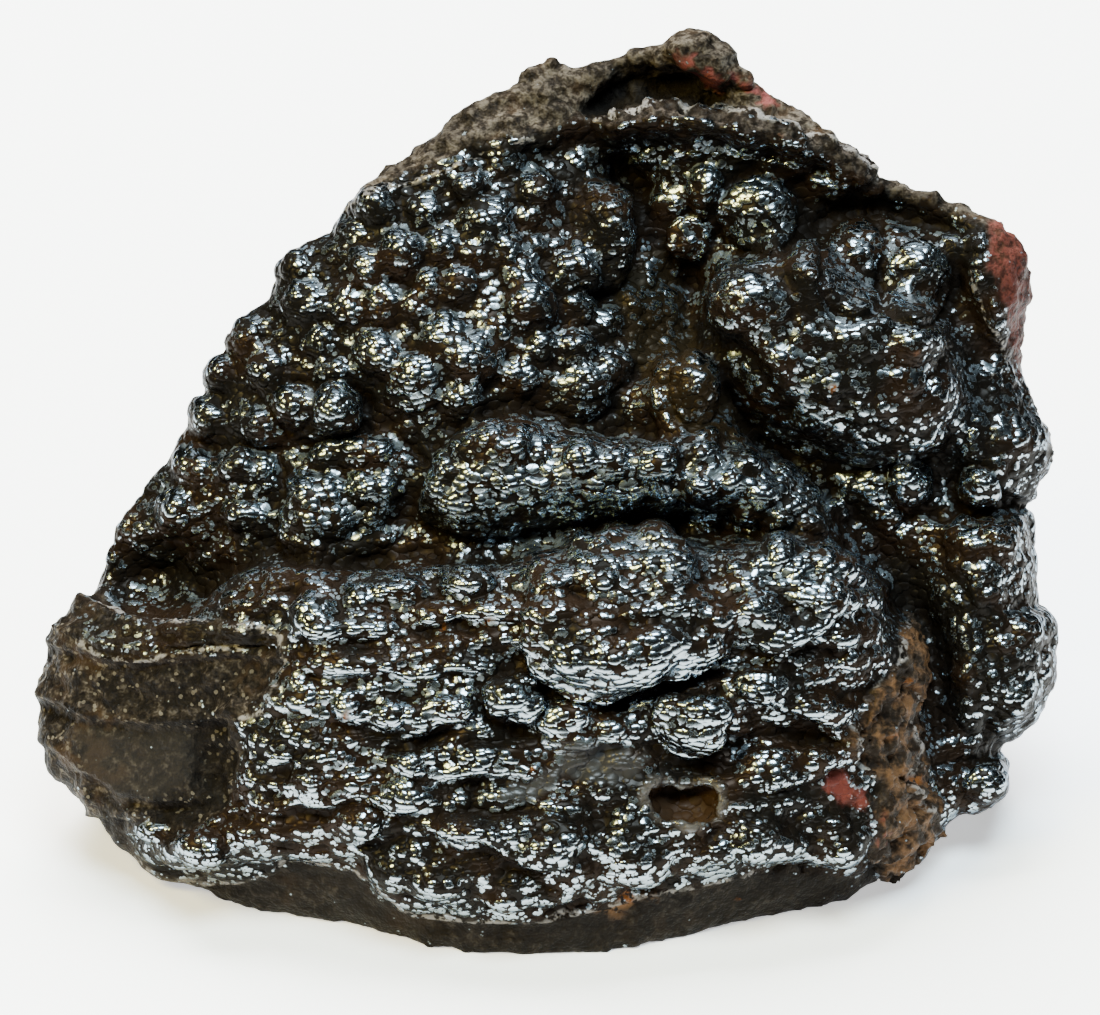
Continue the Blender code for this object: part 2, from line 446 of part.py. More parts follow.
def apply_modifier(body, kind, name, settings):
    modifier = body.modifiers.new(name, kind)
    for setting, value in settings.items():
        setattr(modifier, setting, value)
    bpy.context.view_layer.objects.active = body
    bpy.ops.object.modifier_apply(modifier=modifier.name)


def cut_base(body):
    """Cut the block flat where it stands, and close the cut."""
    mesh = bmesh.new()
    mesh.from_mesh(body.data)
    everything = list(mesh.verts) + list(mesh.edges) + list(mesh.faces)
    bmesh.ops.bisect_plane(mesh, geom=everything, plane_co=(0, 0, 0), plane_no=(0, 0, 1),
                           clear_inner=True, dist=1e-6)
    on_cut = [vert for vert in mesh.verts if abs(vert.co.z) < 1e-5]
    bmesh.ops.remove_doubles(mesh, verts=on_cut, dist=0.25 * millimetre)
    open_edges = [edge for edge in mesh.edges if edge.is_boundary]
    bmesh.ops.holes_fill(mesh, edges=open_edges, sides=0)
    bmesh.ops.triangulate(mesh, faces=mesh.faces)
    bmesh.ops.recalc_face_normals(mesh, faces=mesh.faces)
    mesh.to_mesh(body.data)
    mesh.free()


def centre_on_base(body):
    """Put the middle of the footprint's box over the origin."""
    points = np.array([vert.co for vert in body.data.vertices])
    middle = (points.min(axis=0) + points.max(axis=0)) / 2.0
    body.data.transform(Matrix.Translation((-middle[0], -middle[1], 0.0)))


def ore_material():
    material = bpy.data.materials.new("hematite")
    material.use_nodes = True
    shader = material.node_tree.nodes["Principled BSDF"]
    shader.inputs["Base Color"].default_value = (0.038, 0.030, 0.024, 1.0)
    shader.inputs["Metallic"].default_value = 0.55
    shader.inputs["Roughness"].default_value = 0.34
    return material


def build_hematite():
    mesh = bmesh.new()
    block_mesh(mesh)
    lobe_meshes(mesh)
    bmesh.ops.recalc_face_normals(mesh, faces=mesh.faces)
    data = bpy.data.meshes.new("hematite")
    mesh.to_mesh(data)
    mesh.free()
    body = bpy.data.objects.new("hematite", data)
    bpy.context.scene.collection.objects.link(body)
    apply_modifier(body, "REMESH", "fuse", {"mode": "VOXEL", "voxel_size": fusing_size * millimetre})
    apply_modifier(body, "SMOOTH", "soften", {"factor": 0.5, "iterations": 1})
    apply_modifier(body, "TRIANGULATE", "triangles", {})
    share = triangle_goal / len(body.data.polygons)
    apply_modifier(body, "DECIMATE", "lighten", {"ratio": share})
    cut_base(body)
    centre_on_base(body)
    body.data.materials.append(ore_material())
    for face in body.data.polygons:
        face.use_smooth = True
    return body


start_clean()
build_hematite()
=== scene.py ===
import math
import random

import bpy
import numpy as np
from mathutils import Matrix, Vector, kdtree, noise


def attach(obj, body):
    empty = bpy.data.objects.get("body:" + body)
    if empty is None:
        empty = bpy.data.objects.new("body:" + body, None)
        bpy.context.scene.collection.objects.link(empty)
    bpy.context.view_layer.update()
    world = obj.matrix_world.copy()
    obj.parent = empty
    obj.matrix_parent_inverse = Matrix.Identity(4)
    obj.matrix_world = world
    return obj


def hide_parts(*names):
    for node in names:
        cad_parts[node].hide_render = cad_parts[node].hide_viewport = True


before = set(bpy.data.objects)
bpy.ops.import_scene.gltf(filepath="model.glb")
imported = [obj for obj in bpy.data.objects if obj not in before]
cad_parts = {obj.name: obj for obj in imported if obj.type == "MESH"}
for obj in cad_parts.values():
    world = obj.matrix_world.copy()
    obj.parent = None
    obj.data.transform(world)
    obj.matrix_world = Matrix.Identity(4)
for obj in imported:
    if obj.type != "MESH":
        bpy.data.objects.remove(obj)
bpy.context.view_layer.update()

mm = 0.001

# Places on the crust are read square on to it: across, up the slope, out of it, in millimetres
crustFrame = {
    "lean": math.radians(30.0),
    "shift": (0.03, 34.38, 0.0),      # from the row frame to the front of the base
    "widening": 0.0013,               # how much nearer things look larger, for each millimetre out
    "middle": 50.0,                   # the height on the crust that they widen from
}


def deselectAll():
    for thing in list(bpy.context.selected_objects):
        thing.select_set(False)


def pickOnly(thing):
    deselectAll()
    thing.select_set(True)
    bpy.context.view_layer.objects.active = thing


def applyModifier(thing, kind, label, settings):
    pickOnly(thing)
    modifier = thing.modifiers.new(label, kind)
    for key, value in settings.items():
        setattr(modifier, key, value)
    bpy.ops.object.modifier_apply(modifier=modifier.name)


def vertexArray(thing):
    flat = np.zeros(len(thing.data.vertices) * 3, dtype=np.float32)
    thing.data.vertices.foreach_get("co", flat)
    return flat.reshape(-1, 3).astype(float)


def normalArray(thing):
    flat = np.zeros(len(thing.data.vertices) * 3, dtype=np.float32)
    thing.data.vertices.foreach_get("normal", flat)
    return flat.reshape(-1, 3).astype(float)


def moveVertices(thing, places):
    thing.data.vertices.foreach_set("co", places.astype(np.float32).ravel())
    thing.data.update()


def toCrust(places):                        # row frame in metres to across, up, out
    lean = crustFrame["lean"]
    shifted = places / mm + np.array(crustFrame["shift"])
    up = shifted[:, 1] * math.sin(lean) + shifted[:, 2] * math.cos(lean)
    out = -shifted[:, 1] * math.cos(lean) + shifted[:, 2] * math.sin(lean)
    spread = 1.0 - crustFrame["widening"] * out
    middle = crustFrame["middle"]
    return np.column_stack([shifted[:, 0] / spread, middle + (up - middle) / spread, out])


# Outlines of the parts of the specimen that look different, across and up
zones = {
    "brokenFace": [(-51, 40), (-58, 34), (-58, 18), (-49.5, 13.6), (-45.4, 14.4), (-39, 13.7), (-34, 17),
                   (-33, 20.2), (-33.5, 22.4), (-34.8, 25.4), (-31.5, 25.8), (-29.5, 28.5), (-28.6, 32),
                   (-28.6, 35.4), (-33, 36), (-37.8, 36), (-43, 35.4), (-46.5, 36), (-48.8, 38.2)],
    "facet": [(-51.4, 24.6), (-50, 20), (-47, 16.6), (-42, 17), (-38.5, 19), (-38, 23), (-39.5, 25.2),
              (-45, 25)],
    "faceHollow": [(-38, 24.6), (-34.8, 25.4), (-33.3, 21), (-34.6, 17), (-39, 13.9), (-44, 14.6),
                   (-42, 16.4), (-38.4, 18.6)],
    "layers": [(-52.5, 38.8), (-48, 36.4), (-43, 35.5), (-38, 36.2), (-28.6, 36), (-28.6, 33.2), (-38, 32.4),
               (-44, 31.6), (-50, 32.6)],
    "crest": [(-24, 79.5), (-19.5, 83.2), (-12, 85.6), (-9, 86.9), (-7.5, 87.9), (-4, 88.3), (-2, 88.7),
              (1, 89.8), (5.2, 90.6), (7, 91.6), (9, 92.2), (12.5, 92.6), (16, 92.2), (18.5, 91.7),
              (22.5, 90.6), (27, 88.6), (32, 86.2), (35.6, 83.2), (36.8, 82.3), (41, 81.4), (46, 79.6),
              (49, 77.4), (60, 78), (40, 110), (-20, 110), (-40, 90)],
    "crestBand": [(5, 90.5), (8, 91.7), (12, 92.2), (17, 91.5), (22, 90.8), (27, 89), (32, 87), (36, 84),
                  (36, 82.6), (33, 84.8), (29, 87), (24, 88.9), (18, 90.2), (12, 91), (7, 90)],
    "recess": [(2.2, 91.2), (4.3, 92.6), (7, 94.6), (10.8, 95.5), (14, 95.2), (16.7, 93.8), (18.9, 92.4),
               (17.3, 91.6), (13.5, 92.5), (10.3, 92.3), (7, 91.3), (4.3, 90.4)],
    "redCrest": [(14, 97.6), (16.4, 97.4), (19.6, 95.3), (22.6, 93.6), (24.6, 92.2), (22.6, 91.6),
                 (19.6, 92.8), (16.8, 94.4), (14.4, 96)],
    "redKnob": [(47.5, 79.8), (54, 78), (54, 63.2), (50.6, 62.8), (49.4, 66), (48.8, 70), (47.4, 74.5)],
    "rustyRidge": [(38.4, 37.1), (39.8, 35), (40.2, 31.7), (40.2, 29.3), (38.8, 26.8), (39.8, 23.1),
                   (40.4, 19), (42.1, 16.9), (41.7, 13.7), (39.2, 11.2), (36.4, 8), (35.5, 9.2),
                   (34.7, 11.6), (34.2, 16.5), (35.5, 18.6), (32.6, 21.5), (32.2, 25.2), (33.9, 27.2),
                   (36.7, 30.9), (38, 32.5), (37.6, 35)],
    "redPatch": [(28.1, 18), (29.8, 18.6), (31.4, 19.8), (32.6, 18.6), (34.3, 18.1), (35.1, 16.5),
                 (34.9, 14.6), (36.2, 13.6), (35.6, 12), (34.3, 13.4), (34.1, 15.9), (32.6, 17),
                 (30.6, 17.2), (28.9, 17.2)],
    "rim": [(-50, 14.6), (-45.8, 14.2), (-44.7, 11.3), (-42, 9.2), (-37.8, 8.3), (-33.5, 8.5), (-27, 10.3),
            (-20.7, 9.8), (-19.5, 7.2), (-16.2, 5.2), (-8, 4.3), (0, 4.4), (5, 5.6), (10, 6.9), (16, 8.1),
            (22, 9.5), (30, 9.2), (35.6, 8.6), (37.5, 8.9), (46, 12.8), (46, -30), (-50, -30)],
    "rustSpot": [(4.4, 5.2), (6.5, 7.6), (9.8, 7.9), (11, 6.6), (8.4, 5.6), (6.8, 4.6)],
    "apron": [(-28.6, 39), (-28.8, 30.5), (-31.5, 25.8), (-34.8, 25.4), (-33.3, 21), (-34, 17),
              (-38.9, 13.7), (-46.4, 14.8), (-45.3, 10.4), (-42, 8.6), (-37.8, 8), (-33.5, 8.2), (-27, 9.7),
              (-20.5, 9.2), (-19, 6.2), (-16, 4.6), (-8, 3.7), (0, 3.8), (5, 5), (10, 6.3), (16, 7.5),
              (22, 8.9), (30, 8.6), (35.6, 8.2), (36.5, 12.5), (35.4, 17), (33.9, 21.5), (35.6, 25.5),
              (37.3, 29), (36.6, 33), (36.4, 38), (33.5, 42), (27, 44.5), (20.5, 43.5), (16, 42.5),
              (13.5, 45.2), (8, 45.4), (4, 44), (0, 43), (-4, 41.8), (-8, 42), (-12, 41), (-18, 40),
              (-23.5, 38.5)],
    "smoothLobes": [(12, 88.5), (24, 87), (33, 83), (40, 80.5), (46, 79), (45.5, 73), (47, 68), (48, 64),
                    (52, 60), (56, 54), (52, 48.6), (43.5, 48.6), (38, 53.5), (30, 54), (24, 56.5), (19, 60),
                    (16, 66.5), (15.5, 72), (11.5, 77), (11, 83)],
    "pit": [(9.8, 17.2), (10.2, 18.6), (11.5, 19.5), (13.4, 19.1), (15.6, 18.9), (17.2, 19.2), (18.5, 18.4),
            (18.6, 16.6), (18, 14.9), (16.4, 14.2), (14.6, 13.9), (12.6, 14.4), (10.9, 15.4)],
    "plates": [(1, 22.4), (4, 23.3), (8, 23), (10.5, 21), (9, 19), (5, 18.8), (2, 19.8), (0.6, 18.6),
               (-2, 17), (-5.5, 17.2), (-5, 18.6), (-1, 19.4), (0.6, 21)],
    "brownHollow": [(6.5, 73), (11, 76), (14, 74), (16, 66), (20.5, 60), (22, 55), (15, 56.5), (10.5, 60),
                    (8.5, 66)],
}

# Places where the crust is duller or brighter than elsewhere, partly real patchy gloss and partly painted
# highlight and shade: across, up, half width, half height, change
shinePatches = [
    (29, 62, 15, 9, 0.02), (35, 61, 9, 6, -0.28), (7, 66, 6, 9, -0.30), (-31, 62, 8, 14, -0.25),
    (-7, 24, 27, 14, 0.20), (5, 47.6, 15, 1.3, -0.50), (-21, 43.8, 9, 1.2, -0.50), (-2, 44.2, 16, 1.6, 0.65),
    (5, 52, 20, 4.5, 0.55), (23, 51.5, 7, 2.5, 0.25), (27, 41.5, 8, 2.5, 0.40), (-27, 50, 12, 8, 0.22),
    (33, 48, 8, 4, 0.20), (-4, 11, 18, 6, -0.18), (36.5, 75, 8, 5.5, 0.48), (22.5, 80.5, 5, 5, 0.42),
    (8, 20.5, 10, 3.4, -0.60), (25, 17, 11, 4, -0.45), (-19, 23.8, 8, 1.3, -0.60), (-6, 23.4, 5, 1.6, -0.60),
    (-20, 32.6, 9, 1.4, -0.45), (2, 37.5, 10, 4, -0.25), (-8, 15, 9, 1.5, -0.50), (-4, 10.2, 5, 1.6, -0.40),
    (-10, 33.4, 7, 2.2, -0.40), (12, 88, 12, 3, -0.35), (32, 82, 8, 3, -0.40), (47, 70, 4, 8, -0.35),
    (-12, 82, 12, 3, -0.15), (29, 46.2, 8, 1.6, -0.40), (-38, 44, 6, 4, -0.50), (-30, 16, 8, 5, -0.25),
    (30, 30, 8, 8, -0.15), (-22, 28.5, 7, 2.4, 0.25), (-3, 26.6, 3, 1.8, 0.40), (-12, 20.5, 7, 1.4, 0.25),
    (14.5, 23.6, 4, 1.6, 0.45), (5, 30.2, 6, 1.6, 0.45), (14, 33, 4, 1.8, 0.40), (-10, 6.4, 9, 1.8, 0.30),
    (16, 9.6, 8, 1.6, 0.25), (45, 31, 4, 9, -0.40), (52, 32, 4, 8, -0.10), (38.5, 42, 3, 6, -0.60),
    (-2, 65, 10, 5, 0.15), (12, 53, 12, 2.4, 0.25), (-4, 56, 8, 2, 0.20), (24, 82, 3, 2.4, 0.40),
    (39.6, 76, 3, 2, 0.30), (22, 73, 3, 2.4, 0.25),
]

# Thin pale edges where the crust is broken through, and small rusty specks: across, up, radius
seams = [
    [(5, 90.3), (8, 91.9), (12, 92.8), (17, 91.9), (22, 91), (27, 89.2), (32, 87.2), (36, 84.2)],
    [(45.8, 74.5), (46.6, 70.5), (48.6, 66.6), (48.9, 64), (47.4, 62.4)],
    [(-21.5, 80.6), (-19, 82.4), (-14, 83.8), (-9, 85.9), (-6, 87.6), (-2, 88.5)],
    [(-51.5, 39.6), (-48.6, 37), (-43, 35.4), (-38, 35.9), (-32, 35.8), (-28.8, 35.2)],
    [(-50.5, 34), (-47.5, 32.4), (-43, 32.2), (-39, 33.2), (-33, 33.6)],
    [(-28.6, 34.6), (-28.4, 31.6), (-29.6, 28.4), (-31.2, 26), (-34.6, 25.2)],
    [(-45, 10.9), (-41.5, 8.9), (-37.8, 8.2), (-33.5, 8.5), (-27.2, 10.9), (-23.5, 10.4), (-20.4, 9.4),
     (-17.2, 6.6), (-14.6, 4.9), (-8, 4.2), (0, 4.3), (5, 5.5), (10, 6.8), (16, 8), (22, 9.4)],
    [(38.2, 36.4), (37.6, 34.8), (37.6, 32.4), (36.6, 31), (34, 27.4), (32.4, 25.2), (32.7, 21.8),
     (34.6, 19.4)],
    [(39, 28.4), (38, 25), (39, 22), (38.6, 18.4), (40.4, 15.6)],
]
specks = [
    (-11.8, 35.6, 0.8), (-6.4, 36.4, 0.9), (-21.9, 26.2, 0.8), (30.7, 61.6, 0.6), (39.1, 65.5, 0.6),
    (24.8, 88.8, 0.8), (-17, 24.6, 0.5), (36.8, 24, 0.9), (39, 19, 1), (38, 30, 0.8), (4, 37.4, 0.5),
    (-2, 20.2, 0.4), (8.2, 6.6, 1), (20.5, 6.6, 0.6),
]

# Steps across the broken face at the left, written like the ledges
faceSteps = [
    ([(-53, 39.2), (-48, 36.2), (-43, 34.9), (-38, 35.2), (-28.5, 35.2)], 0.9, 1.2),
    ([(-54, 35.6), (-47, 33.6), (-42, 33.6), (-36, 34.2), (-28.5, 33.9)], 0.5, 1),
    ([(-54, 34), (-47, 32.2), (-40, 32.4), (-34, 32.9), (-28.5, 32.2)], 0.6, 1.2),
    ([(-55, 28.6), (-49, 26), (-43, 25.4), (-36, 25.8), (-30, 27)], 0.8, 1.8),
    ([(-55, 24), (-50, 20.6), (-46, 18), (-41, 16.8), (-36, 17.4)], 0.8, 2),
    ([(-50, 16.2), (-46, 15.6), (-41, 15), (-37, 15.6)], 0.5, 1.4),
]


def insideOutline(places, corners):
    across, up = places[:, 0], places[:, 1]
    result = np.zeros(len(places), dtype=bool)
    previous = corners[-1]
    for corner in corners:
        crosses = (corner[1] > up) != (previous[1] > up)
        rise = previous[1] - corner[1]
        rise = rise if abs(rise) > 1e-9 else 1e-9
        limit = (previous[0] - corner[0]) * (up - corner[1]) / rise + corner[0]
        result ^= crosses & (across < limit)
        previous = corner
    return result


def lineDistance(places, corners, closed=True):
    best = np.full(len(places), 1e9)
    points = [np.array(corner, dtype=float) for corner in corners]
    if closed:
        points.append(points[0])
    for first, second in zip(points[:-1], points[1:]):
        along = second - first
        share = ((places[:, :2] - first) @ along) / max(along @ along, 1e-9)
        share = np.clip(share, 0.0, 1.0)
        nearest = first + share[:, None] * along
        best = np.minimum(best, np.linalg.norm(places[:, :2] - nearest, axis=1))
    return best


def zoneMask(places, corners, soft, ragged):       # 1 inside, 0 outside, with a soft ragged edge
    reach = lineDistance(places, corners)
    signed = np.where(insideOutline(places, corners), reach, -reach)
    signed = signed + ragged
    return np.clip(0.5 + signed / (2.0 * soft), 0.0, 1.0)


def noiseArray(places, scale, octaves, seed):   # places in millimetres, about -1 to 1
    values = np.zeros(len(places))
    for index, place in enumerate(places):
        spot = Vector((place[0] * scale + seed, place[1] * scale - seed, place[2] * scale + 2 * seed))
        values[index] = noise.fractal(spot, 1.0, 2.0, octaves)
    return values


def smoothStep(value, low, high):
    share = np.clip((value - low) / (high - low), 0.0, 1.0)
    return share * share * (3.0 - 2.0 * share)


ore = {
    "voxel": 1.01,             # first even mesh, before the crust is made finer, in millimetres as the rest
    "softening": 3,
    "lumpSpacing": 3.6, "lumpHeight": 0.55,      # plain filling between the listed lumps
    "listedLumps": 1.25,                         # times the heights in their list
    "scaleSpacing": 3.0, "scaleHeight": 0.95, "scaleStretch": 1.6,
    "beadSpacing": 1.7, "beadHeight": 0.30,
    "rowPitch": 2.6, "rowHeight": 0.30, "rowRise": 0.32,
    "seed": 20,
}

# Heights of the broken rock and of the small edges, in millimetres
relief = {
    "brokenLift": 0.40, "rockGrain": 0.75, "wrinkle": 0.25, "strata": 0.16, "contours": 0.10,
    "faceHollow": 0.8, "crestBand": 0.7, "recess": 1.1,
    "ridge": 0.9, "ridgeCracks": 2.2,
    "pitRim": 0.35, "pitRimWidth": 0.32, "pit": 1.0,
    "seam": 0.22, "seamWidth": 0.30,
}

# Edges of the zones in millimetres: how soft they are, and how far they wander
zoneEdges = {
    "soft": 0.35, "rimSoft": 0.3, "wideSoft": 0.9,
    "wander": 0.9, "rimWander": 0.3, "wideWander": 0.5, "grain": 0.45,
}

# Profiles of the shapes, as shares of their size or in millimetres
profile = {
    "domeReach": 0.72, "domeSpread": 0.25, "lumpReach": 1.2, "lumpPower": 0.68,
    "moatAt": 1.12, "moatWidth": 0.55,
    "lipFall": 1.6, "lipUnder": 0.55, "lipEnds": (-0.8, 1.2),
    "grooveAt": 1.2, "grooveWidth": 0.7, "grooveShare": 0.35,
}

# How much each kind of shape brightens the crust: partly real gloss, partly painted highlight on raised
# lumps, lips and up-turned bead tops, and painted shade in valleys, moats and on up-turned scale tops
gloss = {
    "start": 0.5, "raised": 0.30, "lips": 0.35, "valleys": 0.35, "moats": 0.30, "scales": 0.32,
    "filling": 0.20, "topsOfBeads": 1.30, "topsOfScales": -0.55, "wrinkle": 0.12,
    "fine": 6, "coarse": 260,              # rounds of smoothing between which the tops are told
}

# Lumps seen one by one: across, up, radius, height, and for the long ones the half height too
lumps = [
    (-4.8, 85.9, 1.9, 1), (-1.5, 82.7, 1.8, 1.1), (-8.8, 83, 1.5, 0.9), (-18.7, 80.8, 2, 1.2),
    (-21.3, 77.9, 1.8, 0.9), (-7, 79.2, 2.8, 1.4), (-2.1, 80, 1.4, 0.8), (-16, 75.9, 2.3, 1.4),
    (-19.4, 74, 2, 1.2), (-11.8, 76.8, 2, 1.1), (-8, 76, 1.8, 1), (-4.5, 76, 2, 1.2), (-1.8, 76.4, 1.4, 0.8),
    (-13, 72.7, 1.7, 0.9), (-9.9, 72.7, 2, 1.1), (-3.2, 73.7, 2, 1.1), (2.8, 74, 2.5, 1.3),
    (-2.3, 70.2, 2.6, 1.5), (-26.3, 70.5, 2.3, 1.2), (-21.9, 69.7, 1.7, 0.9), (-18.1, 70.5, 2.1, 1.1),
    (-14.6, 70.2, 1.8, 0.9), (-11.4, 66.9, 2.5, 1.4), (-8, 64.6, 2.8, 1.5), (-18.7, 65.4, 2.3, 1.3),
    (-5.7, 67.6, 1.7, 0.9), (-14.6, 61.9, 2.9, 1.5), (-33.2, 66.7, 2, 1.1), (-30.5, 62.9, 2, 1.1),
    (-36.2, 63.2, 1.8, 0.9), (-27.6, 59.4, 2.2, 1.3), (-23, 59.1, 2.6, 1.6), (-31.1, 56.9, 2, 1),
    (-21.2, 54.4, 1.9, 0.9), (-18.4, 54.2, 1.6, 0.8), (-24.1, 54, 1.8, 0.9), (-33.6, 53, 1.9, 0.9),
    (-31.2, 52.2, 1.6, 0.8), (-26.6, 50.6, 2, 0.8), (-23.6, 51, 1.8, 0.7), (-20.4, 50.8, 1.8, 0.8),
    (-17.6, 50.8, 1.6, 0.7), (-25.8, 47, 1.8, 0.6), (-22.6, 46.6, 1.9, 0.7), (-19.4, 46.8, 1.7, 0.7),
    (-33.6, 48, 1.9, 0.8), (-30.8, 47, 1.5, 0.6), (-27, 44.8, 1.4, 0.5), (-11.4, 52.8, 1.5, 0.6),
    (-9.2, 55.2, 1.5, 0.7), (-6.4, 56.3, 1.6, 0.7), (-3.4, 55.6, 1.5, 0.7), (-0.6, 54.9, 1.5, 0.6),
    (-8, 51.6, 1.6, 0.5), (-4.6, 51.2, 1.5, 0.5), (-1.2, 50.6, 1.5, 0.5), (-10.6, 48.6, 1.4, 0.4),
    (-6.8, 47.9, 1.5, 0.4), (5.2, 50.4, 1.5, 0.5), (8.8, 50.2, 1.4, 0.5), (12.4, 49.8, 1.4, 0.5),
    (-1, 65.7, 1.7, 0.9), (2.8, 65.4, 2.1, 1.2), (-3.2, 62.8, 2, 1), (3.8, 61, 2.9, 1.4),
    (-9.5, 60.2, 2.2, 1.2), (6.9, 63.5, 2, 1.1), (3.4, 70.3, 2, 1.1), (6, 68.4, 1.7, 0.9),
    (-25, 66.4, 1.9, 0.9), (-23.5, 63, 1.8, 0.9), (-37, 58.5, 2, 1.1), (-38.5, 53, 2, 1.1),
    (-40.5, 48.5, 1.9, 1), (-36.5, 49.5, 1.7, 0.8), (-13.5, 80.5, 1.8, 0.9), (-28, 74.5, 1.8, 0.8),
    (12.8, 81.6, 2, 0.9, 2), (16.8, 81.9, 2, 0.9, 3.6), (19.7, 86.7, 3.8, 0.9, 2),
    (12.4, 86.2, 3.8, 0.9, 2.4), (27.6, 75.2, 2, 0.8, 2), (33.1, 66.2, 2.6, 0.5, 1.6),
    (39.3, 66, 3, 0.8, 1.7), (45.4, 57, 1.7, 0.7, 4), (50.6, 56, 2.8, 0.9, 2.2), (39, 51, 2.2, 1.1, 2.4),
    (46.2, 50.4, 2.1, 1.1, 2), (9.3, 58.8, 1.4, 0.8, 1.4), (16.3, 54.4, 1.8, 0.9, 1.4),
    (25.2, 51.6, 1.6, 0.8, 1.6), (23, 49.6, 1.6, 0.8, 1.6), (27.5, 49.4, 1.5, 0.8, 1.5),
    (19.4, 51.2, 1.5, 0.9, 1.4), (16.6, 51, 1.5, 0.8, 1.3), (11.5, 52.8, 1.9, 0.8, 1.6),
    (7.5, 53.4, 1.9, 0.8, 1.6), (3.2, 53.6, 2, 0.8, 1.7), (33, 50.6, 1.7, 0.7, 1.5),
    (36.5, 47.5, 1.4, 0.7, 1.7), (30.5, 62, 2.4, 0.6, 1.5), (24.8, 64.5, 2.2, 0.6, 1.6),
    (38.6, 62.3, 1.8, 0.6, 1.4), (34.5, 59, 2.2, 0.6, 1.3), (28, 57.8, 2, 0.6, 1.3),
    (42.5, 60.6, 1.5, 0.6, 2.4), (3.4, 25.1, 4.3, 0.7, 2.1), (0.5, 40.6, 2.4, 0.8, 1.8),
    (5, 41.4, 2.6, 0.9, 1.9), (12.6, 41.6, 2.6, 0.9, 1.9), (-12.2, 26.3, 4.3, 0.9, 1.4),
    (-17.2, 26.6, 1.9, 0.9, 1.3), (-21, 27.1, 1.9, 0.9, 1.3), (-14.7, 21, 2.5, 0.8, 1.8),
    (-6.1, 21.2, 3.4, 0.8, 1.5), (-21.3, 14.6, 2.5, 0.9, 1.5), (-14.6, 17.5, 2.5, 0.9, 1.9),
    (-2, 12.6, 4.6, 1, 2.5), (-25.4, 37.2, 2.2, 0.9, 1.8), (-20.7, 38.8, 1.5, 0.7, 1.3),
    (-16.2, 39.7, 2.8, 0.8, 1.5), (-9, 40.4, 2.6, 0.8, 1.5), (-27, 28.3, 1.4, 0.6, 1.6),
    (24, 29.5, 3.4, 0.8, 1.6), (29.5, 27, 2.6, 0.8, 1.5), (22.5, 37.5, 2.4, 0.8, 1.8),
    (28.5, 38.5, 2.4, 0.8, 1.8), (32.6, 33.5, 1.8, 0.8, 1.8), (24, 12.6, 3.8, 0.8, 1.6),
    (31, 12.8, 2.8, 0.8, 1.8), (23.5, 20.5, 2.8, 0.8, 1.6), (29, 21.5, 2.2, 0.8, 1.5),
    (-38, 11.6, 3, 0.8, 1.6), (-31, 13.4, 2.6, 0.8, 1.5), (-27, 18.4, 2.6, 0.8, 1.4),
    (-24, 22.4, 2.8, 0.7, 1.2), (-12, 8.6, 3, 0.8, 1.8), (-4.8, 6.8, 2.8, 0.8, 1.4), (10, 9.8, 3, 0.8, 1.5),
    (17, 11.2, 2.6, 0.7, 1.3), (45.4, 44.4, 1.6, 0.6, 1.8), (48.6, 45, 1.9, 0.7, 1.6),
    (47, 41.2, 1.7, 0.6, 1.4), (50.4, 41.6, 1.6, 0.6, 1.9), (43.6, 42, 1.4, 0.5, 1.2),
    (51.6, 35.6, 1.9, 0.7, 1.6), (48.8, 33.8, 1.5, 0.5, 1.5), (45, 34.8, 1.4, 0.4, 1.7),
    (51, 31.6, 1.7, 0.5, 1.9), (48.2, 29.6, 1.6, 0.5, 1.3), (44.8, 30.2, 1.5, 0.5, 1.2),
    (50.2, 27, 1.8, 0.5, 1.6), (45.4, 25.8, 1.6, 0.5, 1.6), (43.4, 22.8, 1.3, 0.4, 1.4),
    (47, 18.8, 2.2, 0.8, 1.8), (10, 86.6, 2.6, 1.4, 1.6), (14.6, 87.4, 2.8, 1.4, 1.6),
    (25.4, 85.6, 2.8, 1.3, 1.6), (30.4, 83.6, 2.4, 1.2, 1.5), (21, 47.6, 1.5, 1.1, 1.3),
    (24.6, 47.2, 1.6, 1.1, 1.3), (28.2, 46.4, 1.5, 1, 1.3), (31, 48.4, 1.4, 0.9, 1.3),
    (2.5, 45.6, 1.7, 0.9, 1.2), (7, 46.3, 1.5, 0.9, 1.1), (11.4, 45.8, 1.8, 1, 1.2), (16, 46.4, 1.6, 1, 1.2),
    (20.4, 45.6, 1.8, 1, 1.3), (24.8, 44.4, 1.6, 0.9, 1.3), (29, 42.8, 1.8, 0.9, 1.5), (19.5, 42.4, 1, 0.5),
    (22.4, 42.8, 0.9, 0.5), (24.8, 43.4, 1, 0.5), (26.9, 41.6, 1, 0.5), (29.4, 40.8, 1, 0.5),
    (30.8, 39.4, 1.1, 0.6), (32.6, 38.6, 0.9, 0.5), (34.3, 38.7, 1, 0.5), (35.9, 39.8, 0.9, 0.5),
    (32.4, 42.2, 1.1, 0.6), (33.8, 41, 0.9, 0.5), (17, 56.4, 1, 0.5), (21.5, 53.4, 1.2, 0.6),
    (24, 53.6, 1, 0.5), (28.1, 47.4, 1, 0.5),
]

